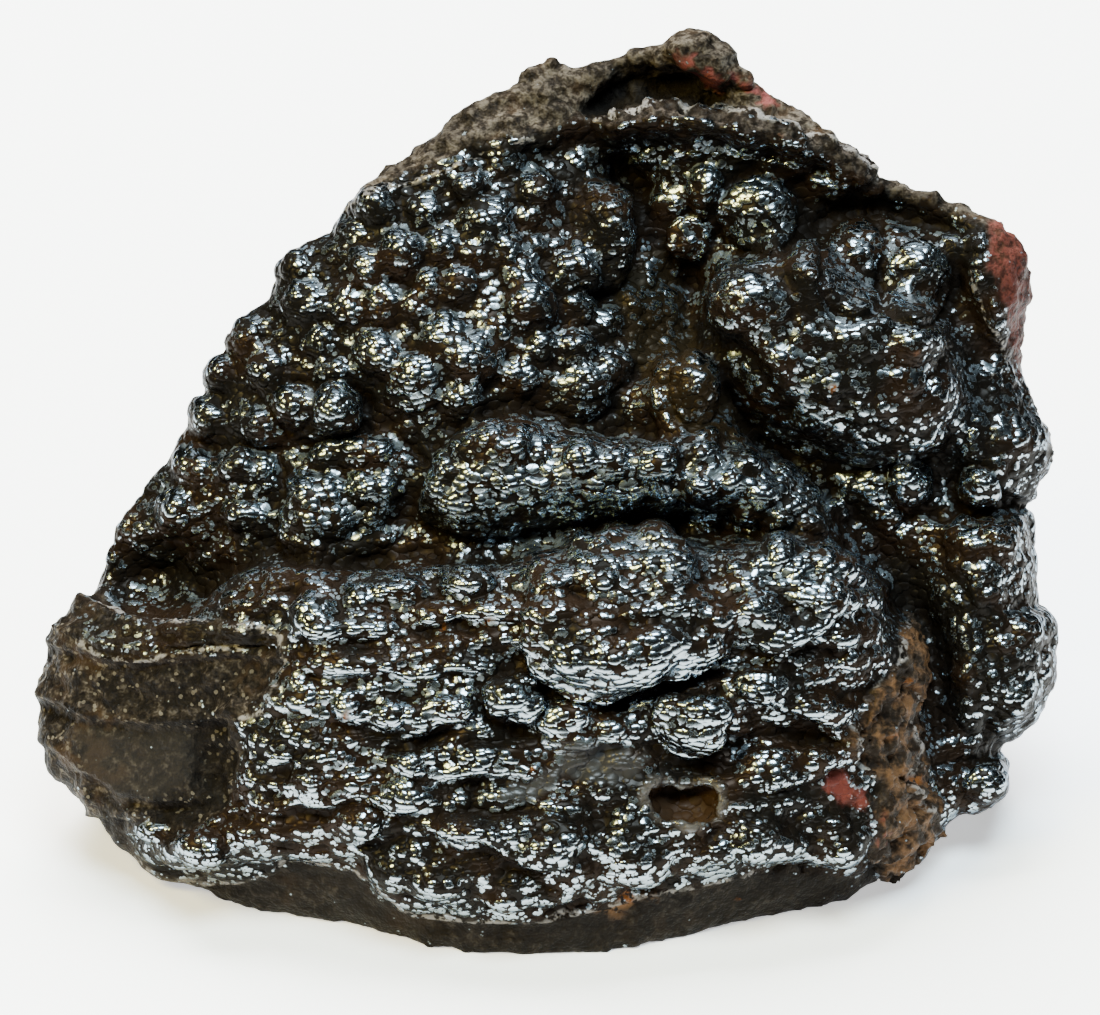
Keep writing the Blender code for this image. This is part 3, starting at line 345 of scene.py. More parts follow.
# Lobes with a groove round them: across, up, half width, half height, rise, groove
lobes = [
    (5.9, 78.3, 3.6, 5.9, 0.7, 0.25), (14.8, 77.4, 2.5, 2.5, 0.7, 0.8), (22.7, 80.4, 4.4, 3.9, 1.2, 1.2),
    (33, 74.8, 3.4, 5.2, 1, 0.8), (39.9, 73.1, 3.7, 4.3, 1.1, 0.9), (21.6, 69.6, 4.3, 4.3, 0.8, 0.4),
    (15.7, 61.6, 2.9, 3.9, 0.9, 0.8), (-4, 28.1, 3.2, 2.8, 0.3, 0.7), (15.4, 25.7, 4, 3.3, 0.3, 0.7),
    (16.7, 53.7, 2, 1.6, 1, 0.5), (38.9, 51.4, 2.3, 2.4, 1, 0.7), (45.9, 50.8, 2.3, 2.1, 1, 0.7),
    (-22.8, 59.3, 2.7, 2.5, 0.9, 0.6), (-27.6, 59.6, 2.2, 2.2, 0.7, 0.6), (47, 18.6, 2.4, 2, 0.8, 0.5),
]

# Valleys between the rolls: places along the floor, depth, half width
valleys = [
    ([(-21.1, 61.2), (-18.4, 58), (-15.7, 55.8), (-14, 53.7), (-15.1, 49.4), (-16.2, 46.1)], 1.2, 1.3),
    ([(-14, 53.7), (-11.9, 56.4), (-7.6, 58.8), (-2.2, 59.6), (3.2, 57.6), (8.6, 56.4), (13, 56.2)], 0.9, 1),
    ([(-36.7, 54.8), (-33.5, 55.4), (-29.2, 54.8), (-23.8, 55.8), (-19.4, 57.4)], 1.1, 1.1),
    ([(-29.7, 43.4), (-29.6, 48.3), (-28.8, 51), (-29.2, 53.7)], 0.9, 0.9),
    ([(-37.8, 39.6), (-35.1, 42), (-30.2, 43.4), (-22.1, 42.6), (-14.6, 43.6), (-9.7, 43.4),
      (-5.4, 43)], 1.1, 1.1),
    ([(20, 66), (23.4, 61.6), (26, 58), (29, 54.4), (33, 52.4)], 0.8, 1.2),
    ([(41, 62), (43.4, 66), (44, 70), (44.6, 77)], 0.6, 0.9),
    ([(28.4, 78.4), (31, 80.8), (36, 81), (40, 79.6), (44, 78.6)], 1.2, 1),
    ([(8.6, 86), (10.2, 82.6), (10.4, 78), (9.4, 74), (7.2, 71.4), (4.6, 71.2)], 1.3, 1.1),
    ([(-32.4, 36.6), (-29, 37.4), (-27.6, 39.4)], 0.6, 0.8),
    ([(19, 24.6), (22, 25.6), (26, 24), (31, 23.2)], 0.7, 0.8),
    ([(7, 27.8), (9.6, 28.8), (13, 29.6), (18, 30.8)], 0.8, 0.8),
    ([(37.6, 46.6), (39.6, 47.8), (42.4, 47.6), (44.6, 48.6), (47.4, 48), (50, 49), (52.4, 48.6)], 0.8, 0.6),
    ([(41.6, 45), (43.6, 41), (45.6, 38.2), (49.6, 37.4), (53, 38.2)], 0.5, 0.9),
    ([(46.4, 36.8), (47.6, 32.6), (46.4, 28.4), (47.4, 24.2)], 0.5, 0.9),
    ([(42, 21), (45.5, 21.4), (49.5, 22.4)], 0.9, 0.8),
]

# Lower edges of the overhanging rolls: places along the edge, how far it stands out, its reach upwards
ledges = [
    ([(-2.6, 37), (-2.3, 34.6), (-0.7, 32.1), (2.1, 29.9), (5, 28.6), (6.9, 29.3), (8.8, 30.2), (10.4, 31),
      (13.5, 31.2), (15.4, 31.8), (17.3, 33.4), (19.5, 34.4)], 1.7, 4),
    ([(17, 36.6), (20.5, 34.6), (24, 33.6), (27, 34.2), (29.5, 36), (31.5, 38)], 1.1, 3),
    ([(-7.2, 29.6), (-6.7, 28), (-5.5, 26.2), (-3.9, 25.6), (-2, 26), (-0.9, 28)], 1, 2.4),
    ([(10.8, 26), (11.4, 23.4), (13.5, 22.2), (16.1, 22.6), (18.2, 24), (19.6, 26.6)], 1.1, 2.4),
    ([(-27.5, 34.7), (-23, 35.2), (-18, 35), (-12, 36.4), (-7, 37), (-3, 36.8)], 0.8, 2.4),
    ([(-16.4, 25.1), (-14, 24.7), (-12.2, 25), (-10.3, 26.4), (-8.4, 27.4)], 0.8, 1.8),
    ([(-23.2, 27), (-21, 26), (-18.5, 25.8), (-16, 26)], 0.7, 1.6),
    ([(-15.8, 20.4), (-13.4, 19.4), (-9.3, 19.4), (-5.5, 20), (-2.6, 19.4), (-1.2, 20.6)], 0.8, 2),
    ([(-24.2, 13.8), (-21.3, 12.9), (-18.4, 14.2)], 0.8, 1.8),
    ([(-33, 17), (-29, 16.2), (-25, 16.8), (-20, 17.6), (-16.5, 16.2)], 0.7, 1.8),
    ([(-30, 22), (-26, 21), (-21.5, 21.3), (-18, 22)], 0.6, 1.6),
    ([(-28, 31.6), (-24, 31), (-20, 31.4), (-15, 30.4), (-10, 31.6), (-7, 31.4)], 0.7, 1.8),
    ([(-12.8, 14.2), (-10.2, 13.2), (-7, 13.2), (-4, 10.6), (0, 9.9), (3.6, 11.2)], 0.8, 2),
    ([(-1, 23.4), (2, 22.6), (5.5, 22.9), (8, 24.2)], 0.7, 1.8),
    ([(20, 19.2), (23.5, 18.7), (27.5, 19.4), (30, 20)], 0.7, 1.8),
    ([(20, 11.8), (24, 11), (28, 11.4), (33, 11.2)], 0.7, 1.8),
    ([(20.5, 28.4), (24, 27.8), (27.5, 26), (31.5, 25.4)], 0.8, 2),
    ([(-14.2, 49), (-12, 46.6), (-8, 46), (-3, 46.8), (2, 47.4), (8, 48.6), (14, 48.4), (19, 46.8),
      (24, 45.6)], 0.8, 2.4),
    ([(-29.4, 46.4), (-27.4, 44.2), (-22.5, 43.4), (-18, 44.6), (-15.6, 47)], 0.9, 2.2),
    ([(-36, 50.8), (-32.5, 50), (-29.6, 51.4)], 0.7, 1.8),
    ([(-28, 57.4), (-25, 56.4), (-20.8, 56.8)], 0.8, 2),
    ([(18, 77.4), (20, 76.4), (23.4, 76.2), (27, 78)], 0.8, 2.4),
    ([(20, 60), (23, 57), (27, 54.8), (33, 53.4), (38, 54), (42, 56)], 0.6, 2.4),
    ([(2.6, 74.6), (4.4, 72.8), (7, 72.6), (9, 74.8), (9.6, 78)], 0.7, 2.2),
]


def copyNode(name, label):
    pickOnly(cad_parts[name])
    bpy.ops.object.duplicate()
    thing = bpy.context.view_layer.objects.active
    thing.name = label
    thing.data.name = label
    thing.parent = None
    for key in list(thing.keys()):
        del thing[key]
    bpy.ops.object.mode_set(mode="EDIT")
    bpy.ops.mesh.select_all(action="SELECT")
    bpy.ops.mesh.remove_doubles(threshold=0.00001)
    bpy.ops.object.mode_set(mode="OBJECT")
    return thing


def facingFront(thing, low, high):          # 1 on what faces out of the crust, 0 on the broken back
    lean = crustFrame["lean"]
    facing = normalArray(thing) @ np.array([0.0, -math.cos(lean), math.sin(lean)])
    return smoothStep(facing, low, high)


def refineCrust(thing):                     # finer faces where the crust shows
    front = facingFront(thing, -0.45, -0.25) > 0.5
    for edge in thing.data.edges:
        edge.select = False
    for vertex in thing.data.vertices:
        vertex.select = False
    pickOnly(thing)
    bpy.ops.object.mode_set(mode="EDIT")
    bpy.ops.mesh.select_mode(type="FACE")
    bpy.ops.object.mode_set(mode="OBJECT")
    for polygon in thing.data.polygons:
        polygon.select = all(front[index] for index in polygon.vertices)
    bpy.ops.object.mode_set(mode="EDIT")
    bpy.ops.mesh.subdivide(number_cuts=1, smoothness=0.0)
    bpy.ops.object.mode_set(mode="OBJECT")


def spreadSeeds(points, spacing, generator):   # evenly scattered points, no two nearer than the spacing
    order = list(range(len(points)))
    generator.shuffle(order)
    steps = [(dx, dy, dz) for dx in (-1, 0, 1) for dy in (-1, 0, 1) for dz in (-1, 0, 1)]
    cells = {}
    chosen = []
    for index in order:
        x, y, z = points[index]
        column, row, layer = int(x // spacing), int(y // spacing), int(z // spacing)
        near = (seed for dx, dy, dz in steps for seed in cells.get((column + dx, row + dy, layer + dz), ()))
        if any((seed[0] - x) ** 2 + (seed[1] - y) ** 2 + (seed[2] - z) ** 2 < spacing ** 2 for seed in near):
            continue
        cells.setdefault((column, row, layer), []).append((x, y, z))
        chosen.append(index)
    return chosen


def domeLayer(points, spacing, generator):   # rounded heights 0 to 1 round scattered seeds
    chosen = spreadSeeds(points, spacing, generator)
    tree = kdtree.KDTree(len(chosen))
    sizes = []
    for number, index in enumerate(chosen):
        tree.insert(points[index], number)
        sizes.append(1.0 + profile["domeSpread"] * (generator.random() * 2.0 - 1.0))
    tree.balance()
    height = np.zeros(len(points))
    for index, point in enumerate(points):
        for place, number, reach in tree.find_n(point, 3):
            share = reach / (spacing * profile["domeReach"] * sizes[number])
            if share < 1.0:
                height[index] = max(height[index], math.sqrt(1.0 - share * share) * sizes[number])
    return height


def lumpLayer(spots, listed):               # heights in millimetres of the lumps set down one by one
    height = np.zeros(len(spots))
    reach = profile["lumpReach"]
    for across, up, radius, rise, *tall in listed:
        tall = tall[0] if tall else radius
        share = ((spots[:, 0] - across) / (radius * reach)) ** 2 + ((spots[:, 1] - up) / (tall * reach)) ** 2
        near = share < 1.0
        height[near] = np.maximum(height[near], rise * (1.0 - share[near]) ** profile["lumpPower"])
    return height


def lobeLayer(spots, listed):               # domes with a groove just outside each
    height = np.zeros(len(spots))
    for across, up, wide, tall, rise, groove in listed:
        reach = np.sqrt(((spots[:, 0] - across) / wide) ** 2 + ((spots[:, 1] - up) / tall) ** 2)
        dome = rise * np.sqrt(np.clip(1.0 - reach ** 2, 0.0, 1.0))
        beside = (reach - profile["moatAt"]) * min(wide, tall)
        moat = groove * np.exp(-(beside / profile["moatWidth"]) ** 2)
        height = np.where(dome > 0.0, dome, np.minimum(height, -moat))
    return height


def valleyLayer(spots, listed):             # soft grooves along lines, with ends that run out
    depth = np.zeros(len(spots))
    for line, deep, half in listed:
        away = lineDistance(spots, line, closed=False)
        depth = np.maximum(depth, deep * np.exp(-(away / half) ** 2))
    return depth


def ledgeLayer(spots, listed):              # a sharp lower lip that dies away upwards, a small groove below
    height = np.zeros(len(spots))
    for line, rise, reach in listed:
        points = np.array(line)
        level = np.interp(spots[:, 0], points[:, 0], points[:, 1])
        ends = np.minimum(spots[:, 0] - points[0, 0], points[-1, 0] - spots[:, 0])
        away = lineDistance(spots, line, closed=False)
        above = np.where(spots[:, 1] > level, away, -away)
        lip = np.where(above > 0.0, np.exp(-above / reach * profile["lipFall"]),
                       smoothStep(above, -profile["lipUnder"], 0.0))
        groove = np.exp(-((above + profile["grooveAt"]) / profile["grooveWidth"]) ** 2)
        shape = (rise * lip - profile["grooveShare"] * rise * groove) * smoothStep(ends, *profile["lipEnds"])
        height = np.where(np.abs(shape) > np.abs(height), shape, height)
    return height


def smoothedCopy(thing, rounds):            # places and normals of a smoothed copy, which is then thrown away
    pickOnly(thing)
    bpy.ops.object.duplicate()
    smoothed = bpy.context.view_layer.objects.active
    applyModifier(smoothed, "SMOOTH", "smoothed", {"factor": 0.5, "iterations": rounds})
    places, normals = vertexArray(smoothed), normalArray(smoothed)
    bpy.data.objects.remove(smoothed, do_unlink=True)
    return places, normals


def hollowDepth(thing, rounds):             # how far each point sits below its smoothed surroundings, in mm
    places, normals = smoothedCopy(thing, rounds)
    return ((places - vertexArray(thing)) * normals).sum(axis=1) / mm


def upwardTurn(thing, fine, coarse):        # how much more each point faces up than its surroundings
    lean = crustFrame["lean"]
    upSlope = np.array([0.25, math.sin(lean), math.cos(lean)])
    fineFacing, coarseFacing = (smoothedCopy(thing, rounds)[1] @ upSlope for rounds in (fine, coarse))
    return fineFacing - coarseFacing


def pushOut(thing, amount):                 # amount in millimetres, along the smooth normals
    places = vertexArray(thing)
    places += normalArray(thing) * amount[:, None] * mm
    places[:, 2] = np.maximum(places[:, 2], 0.0)
    moveVertices(thing, places)


def storeMask(thing, name, values):
    attribute = thing.data.attributes.new(name, "FLOAT", "POINT")
    attribute.data.foreach_set("value", values.astype(np.float32))


def evenMesh():
    thing = copyNode("hematite", "hematiteOre")
    applyModifier(thing, "REMESH", "evenMesh", {"mode": "VOXEL", "voxel_size": ore["voxel"] * mm})
    applyModifier(thing, "SMOOTH", "soften", {"factor": 0.5, "iterations": ore["softening"]})
    refineCrust(thing)
    applyModifier(thing, "SMOOTH", "softenAgain", {"factor": 0.5, "iterations": 2})
    print("even mesh", len(thing.data.polygons))
    return thing


def buildMasks(spots, front):               # every zone, and what is broken, crust, scales, beads and smooth
    edge = zoneEdges
    ragged = edge["wander"] * noiseArray(spots, edge["grain"], 3, 3.0)
    masks = {name: zoneMask(spots, corners, edge["soft"], ragged) for name, corners in zones.items()}
    masks["rim"] = zoneMask(spots, zones["rim"], edge["rimSoft"], edge["rimWander"] * ragged)
    for name in ("apron", "facet", "faceHollow", "layers"):
        masks[name] = zoneMask(spots, zones[name], edge["wideSoft"], edge["wideWander"] * ragged)
    broken = np.maximum.reduce([
        masks["brokenFace"] * (1.0 - 0.75 * masks["layers"]), masks["crest"], 0.85 * masks["rustyRidge"],
        masks["rim"], 0.88 * masks["redKnob"], masks["crestBand"], masks["recess"]])
    masks["broken"] = np.maximum(broken, 1.0 - front)
    masks["crust"] = 1.0 - masks["broken"]
    masks["scales"] = masks["crust"] * masks["apron"]
    masks["beads"] = masks["crust"] * (1.0 - masks["apron"])
    masks["smooth"] = masks["smoothLobes"] * masks["crust"]
    return masks


def addLumps(thing, spots, masks, front, generator):
    covered = masks["crust"] * front
    listed = lumpLayer(spots, lumps) * covered
    lips = ledgeLayer(spots, ledges)
    fill = domeLayer(spots, ore["lumpSpacing"], generator)
    fillAmount = ore["lumpHeight"] * masks["beads"] * (1.0 - 0.7 * masks["smooth"])
    bold = lobeLayer(spots, lobes)
    valley = valleyLayer(spots, valleys)
    pushOut(thing, (lips - valley) * covered)
    plain = np.maximum(ore["listedLumps"] * listed, (fill - 0.2) * fillAmount)
    pushOut(thing, np.where(bold > 0.0, bold * covered, plain + bold * covered))
    print("lumps done")
    return {"listed": listed, "lips": lips, "fill": fill, "bold": bold, "valley": valley}


def addScales(thing, spots, masks, generator):   # overlapping rows and flat scales on the apron
    warp = 1.6 * noiseArray(spots, 0.10, 3, 7.0) + 0.5 * noiseArray(spots, 0.35, 2, 9.0)
    phase = (spots[:, 1] + warp) / ore["rowPitch"]
    saw = phase - np.floor(phase)
    rise = ore["rowRise"]
    rows = np.where(saw < rise, np.sin(saw / rise * math.pi / 2.0),
                    np.cos((saw - rise) / (1.0 - rise) * math.pi / 2.0) ** 1.2)
    flat = domeLayer(spots / np.array([ore["scaleStretch"], 1.0, 1.0]), ore["scaleSpacing"], generator)
    pushOut(thing, ((rows - 0.5) * ore["rowHeight"] + (flat - 0.5) * ore["scaleHeight"]) * masks["scales"])
    print("rows done")
    return flat


def nearLines(spots, lines, wander, width):      # 1 on the lines, dying away over the width
    near = np.zeros(len(spots))
    for line in lines:
        reach = (lineDistance(spots, line, closed=False) + wander) / width
        near = np.maximum(near, np.exp(-reach ** 2))
    return near


def addFineRelief(thing, spots, masks, front, generator):
    small = domeLayer(spots, ore["beadSpacing"], generator)
    fine = (small - 0.5) * ore["beadHeight"] * masks["beads"] * (1.0 - 0.5 * masks["smooth"])
    wrinkle = noiseArray(spots, 0.6, 3, 11.0)
    fine += relief["wrinkle"] * wrinkle * (masks["smooth"] + 0.2 * masks["crust"])
    rough = noiseArray(spots, 0.35, 4, 13.0)
    fine += relief["brokenLift"] * np.maximum.reduce(
        [masks[name] for name in ("crest", "redKnob", "rim", "brokenFace", "rustyRidge")])
    fine -= relief["faceHollow"] * masks["faceHollow"]
    fine += (relief["rockGrain"] * rough * masks["broken"] * (1.0 - 0.6 * masks["rim"])
             * (1.0 - 0.75 * masks["facet"]))
    fine += ledgeLayer(spots, faceSteps) * masks["brokenFace"]
    fine += (relief["ridge"] - relief["ridgeCracks"] * np.abs(rough)) * masks["rustyRidge"] * front
    fine -= relief["crestBand"] * masks["crestBand"] + relief["recess"] * masks["recess"]
    strata = np.sin((spots[:, 1] * 0.8 - spots[:, 0] * 0.25 + 0.9 * rough) * 3.2)
    fine += relief["strata"] * strata * np.maximum(masks["crest"], masks["rustyRidge"])
    contour = np.sin((spots[:, 2] + 0.35 * spots[:, 1] + 0.8 * wrinkle) * 4.6)
    fine += relief["contours"] * contour * masks["smooth"]
    pitEdge = np.abs(lineDistance(spots, zones["pit"]) + 0.45 * wrinkle)
    pitRim = np.exp(-(pitEdge / relief["pitRimWidth"]) ** 2) * front
    fine += relief["pitRim"] * pitRim - relief["pit"] * masks["pit"] * smoothStep(pitEdge, 0.2, 1.0) * front
    seam = nearLines(spots, seams, 0.30 * rough, relief["seamWidth"]) * front
    fine += relief["seam"] * seam
    pushOut(thing, fine)
    print("beads done")
    return {"wrinkle": wrinkle, "rough": rough, "pitRim": pitRim, "seam": seam}


def shineLevel(thing, spots, masks, shapes, flat, wrinkle):
    shine = np.full(len(spots), gloss["start"])
    for across, up, width, height, change in shinePatches:
        share = ((spots[:, 0] - across) / width) ** 2 + ((spots[:, 1] - up) / height) ** 2
        shine += change * np.exp(-share * 1.2)
    raised = np.maximum(shapes["listed"], shapes["bold"])
    shine += gloss["raised"] * np.clip(raised / 1.2, 0.0, 1.0)
    shine += gloss["lips"] * np.clip(shapes["lips"] / 1.1, -0.6, 1.0)
    shine -= gloss["valleys"] * np.clip(shapes["valley"], 0.0, 1.0)
    shine -= gloss["moats"] * np.clip(-shapes["bold"], 0.0, 1.0)
    shine += gloss["scales"] * (flat - 0.62) * masks["scales"]
    shine += gloss["filling"] * (shapes["fill"] - 0.6) * masks["beads"]
    # painted highlight and shade: bead tops turned up towards the light are made brighter, scale tops turned
    # up are made duller
    tops = upwardTurn(thing, gloss["fine"], gloss["coarse"])
    shine += tops * (gloss["topsOfBeads"] * masks["beads"] + gloss["topsOfScales"] * masks["scales"])
    return np.clip(shine + gloss["wrinkle"] * wrinkle, 0.0, 1.3)


def speckLevel(spots, rough):
    level = np.zeros(len(spots))
    for across, up, radius in specks:
        reach = np.hypot(spots[:, 0] - across, (spots[:, 1] - up) * 1.3) + 0.55 * rough
        level = np.maximum(level, 1.0 - smoothStep(reach, 0.2 * radius, 0.75 * radius))
    return level


def buildOre():
    thing = evenMesh()
    generator = random.Random(ore["seed"])
    spots = toCrust(vertexArray(thing))
    front = facingFront(thing, -0.55, -0.20)
    masks = buildMasks(spots, front)
    shapes = addLumps(thing, spots, masks, front, generator)
    flat = addScales(thing, spots, masks, generator)
    small = addFineRelief(thing, spots, masks, front, generator)

    stored = {
        "shine": shineLevel(thing, spots, masks, shapes, flat, small["wrinkle"]),
        "seam": small["seam"], "pitRim": small["pitRim"],
        "speck": speckLevel(spots, small["rough"]) * front,
        "creaseSmall": smoothStep(hollowDepth(thing, 12), 0.0, 0.28),
        "creaseLarge": smoothStep(hollowDepth(thing, 250), 0.0, 1.6),
        "crust": masks["crust"], "smoothLobe": masks["smooth"], "rim": masks["rim"],
        "polished": np.clip(shapes["bold"] / 0.7, 0.0, 1.0) * masks["smooth"],
    }
    for name in ("brokenFace", "facet", "faceHollow", "crest", "crestBand", "recess", "redCrest", "redKnob",
                 "rustyRidge", "redPatch", "rustSpot", "pit", "plates", "brownHollow"):
        stored[name] = masks[name] * front
    for name, values in stored.items():
        storeMask(thing, name, values)
    pickOnly(thing)
    bpy.ops.object.shade_smooth()
    return thing


class Signal:                               # a socket that can stand in a sum
    def __init__(self, finish, socket):
        self.finish, self.socket = finish, socket

    def join(self, operation, first, second):
        return self.finish.add("ShaderNodeMath", {"operation": operation}, {0: first, 1: second})

    def __add__(self, other):
        return self.join("ADD", self, other)

    def __sub__(self, other):
        return self.join("SUBTRACT", self, other)

    def __rsub__(self, other):
        return self.join("SUBTRACT", other, self)

    def __mul__(self, other):
        return self.join("MULTIPLY", self, other)

    def __pow__(self, other):
        return self.join("POWER", self, other)

    def larger(self, other):
        return self.join("MAXIMUM", self, other)

    def smaller(self, other):
        return self.join("MINIMUM", self, other)

    __radd__ = __add__
    __rmul__ = __mul__


class Finish:
    def __init__(self, name):
        self.material = bpy.data.materials.new(name)
        self.material.use_nodes = True
        self.tree = self.material.node_tree
        self.tree.nodes.clear()

    def add(self, kind, settings=None, values=None, output=0):   # any node: its type, settings, socket values
        node = self.tree.nodes.new(kind)
        for key, value in (settings or {}).items():
            if key == "stops":
                ramp = node.color_ramp
                while len(ramp.elements) < len(value):
                    ramp.elements.new(0.5)
                for element, (position, colour) in zip(ramp.elements, value):
                    element.position = position
                    element.color = (*colour, 1.0)
            else:
                setattr(node, key, value)
        for key, value in (values or {}).items():
            if isinstance(value, Signal):
                self.tree.links.new(value.socket, node.inputs[key])
            else:
                node.inputs[key].default_value = value
        return Signal(self, node.outputs[output]) if len(node.outputs) else node

    def mask(self, name):
        return self.add("ShaderNodeAttribute", {"attribute_name": name}, output="Fac")

    def blend(self, share, first, second):
        return self.add("ShaderNodeMix", {"data_type": "RGBA"}, {0: share, 6: first, 7: second}, output=2)

    def noise(self, where, scale, detail, roughness):
        return self.add("ShaderNodeTexNoise", {}, {"Vector": where, "Scale": scale, "Detail": detail,
                                                   "Roughness": roughness})

    def beads(self, where, scale):          # packed round beads: their domed height and a number for each
        cells = self.add("ShaderNodeTexVoronoi", {"feature": "F1"}, {"Vector": where, "Scale": scale})
        shade = Signal(self, cells.socket.node.outputs["Color"])
        number = self.add("ShaderNodeSeparateColor", {}, {"Color": shade})
        fall = self.add("ShaderNodeMath", {"operation": "SUBTRACT", "use_clamp": True},
                        {0: 1.0, 1: cells * cells * 1.9})
        return {"dome": fall ** 0.5, "random": number}

    def step(self, value, low, high):
        return self.add("ShaderNodeMapRange", {"interpolation_type": "SMOOTHSTEP"},
                        {"Value": value, "From Min": low, "From Max": high, "To Min": 0.0, "To Max": 1.0})


oreFinish = {
    "steel": (0.27, 0.32, 0.36),
    "steelDull": (0.0060, 0.0052, 0.0044),
    "steelBrown": (0.0120, 0.0072, 0.0045),
    "steelGrey": (0.052, 0.055, 0.058),
    # near black painted shade for the creases of the crust
    "paintedCreaseShade": (0.005, 0.0034, 0.0022),
    "matrix": (0.017, 0.013, 0.0095),
    "matrixPale": (0.072, 0.060, 0.047),
    "matrixDark": (0.004, 0.0032, 0.0026),
    # pale colour of the painted glints on the broken rock
    "paintedGlint": (0.125, 0.108, 0.082),
    "facet": (0.0135, 0.0122, 0.0114),
    "earth": (0.034, 0.020, 0.010),
    "red": (0.085, 0.022, 0.017),
    "pink": (0.12, 0.036, 0.032),
    "rust": (0.100, 0.052, 0.024),
    # dark colour for the rim, painted shade where the rock curves under the crust
    "rim": (0.0072, 0.0058, 0.0046),
    "hollowBrown": (0.018, 0.013, 0.006),
    "ridgeDark": (0.016, 0.010, 0.006),
    "bandPale": (0.036, 0.028, 0.024),
    # near black painted shade for the recess by the crest
    "recess": (0.003, 0.0024, 0.002),
    "plates": (0.035, 0.034, 0.034),
    "pit": (0.026, 0.014, 0.007),
    "pitRim": (0.065, 0.058, 0.052),
    "seam": (0.150, 0.138, 0.128),
    "speck": (0.11, 0.038, 0.009),
}

oreTexture = {                              # sizes of the patterns, and how deep the bump goes in metres
    "beads": 1120.0, "beadStretch": (0.76, 1.0, 1.0), "tinyBeads": 2300.0,
    "broad": 110.0, "patch": 330.0, "rockGrain": 1000.0, "bumpDepth": 0.00020,
}


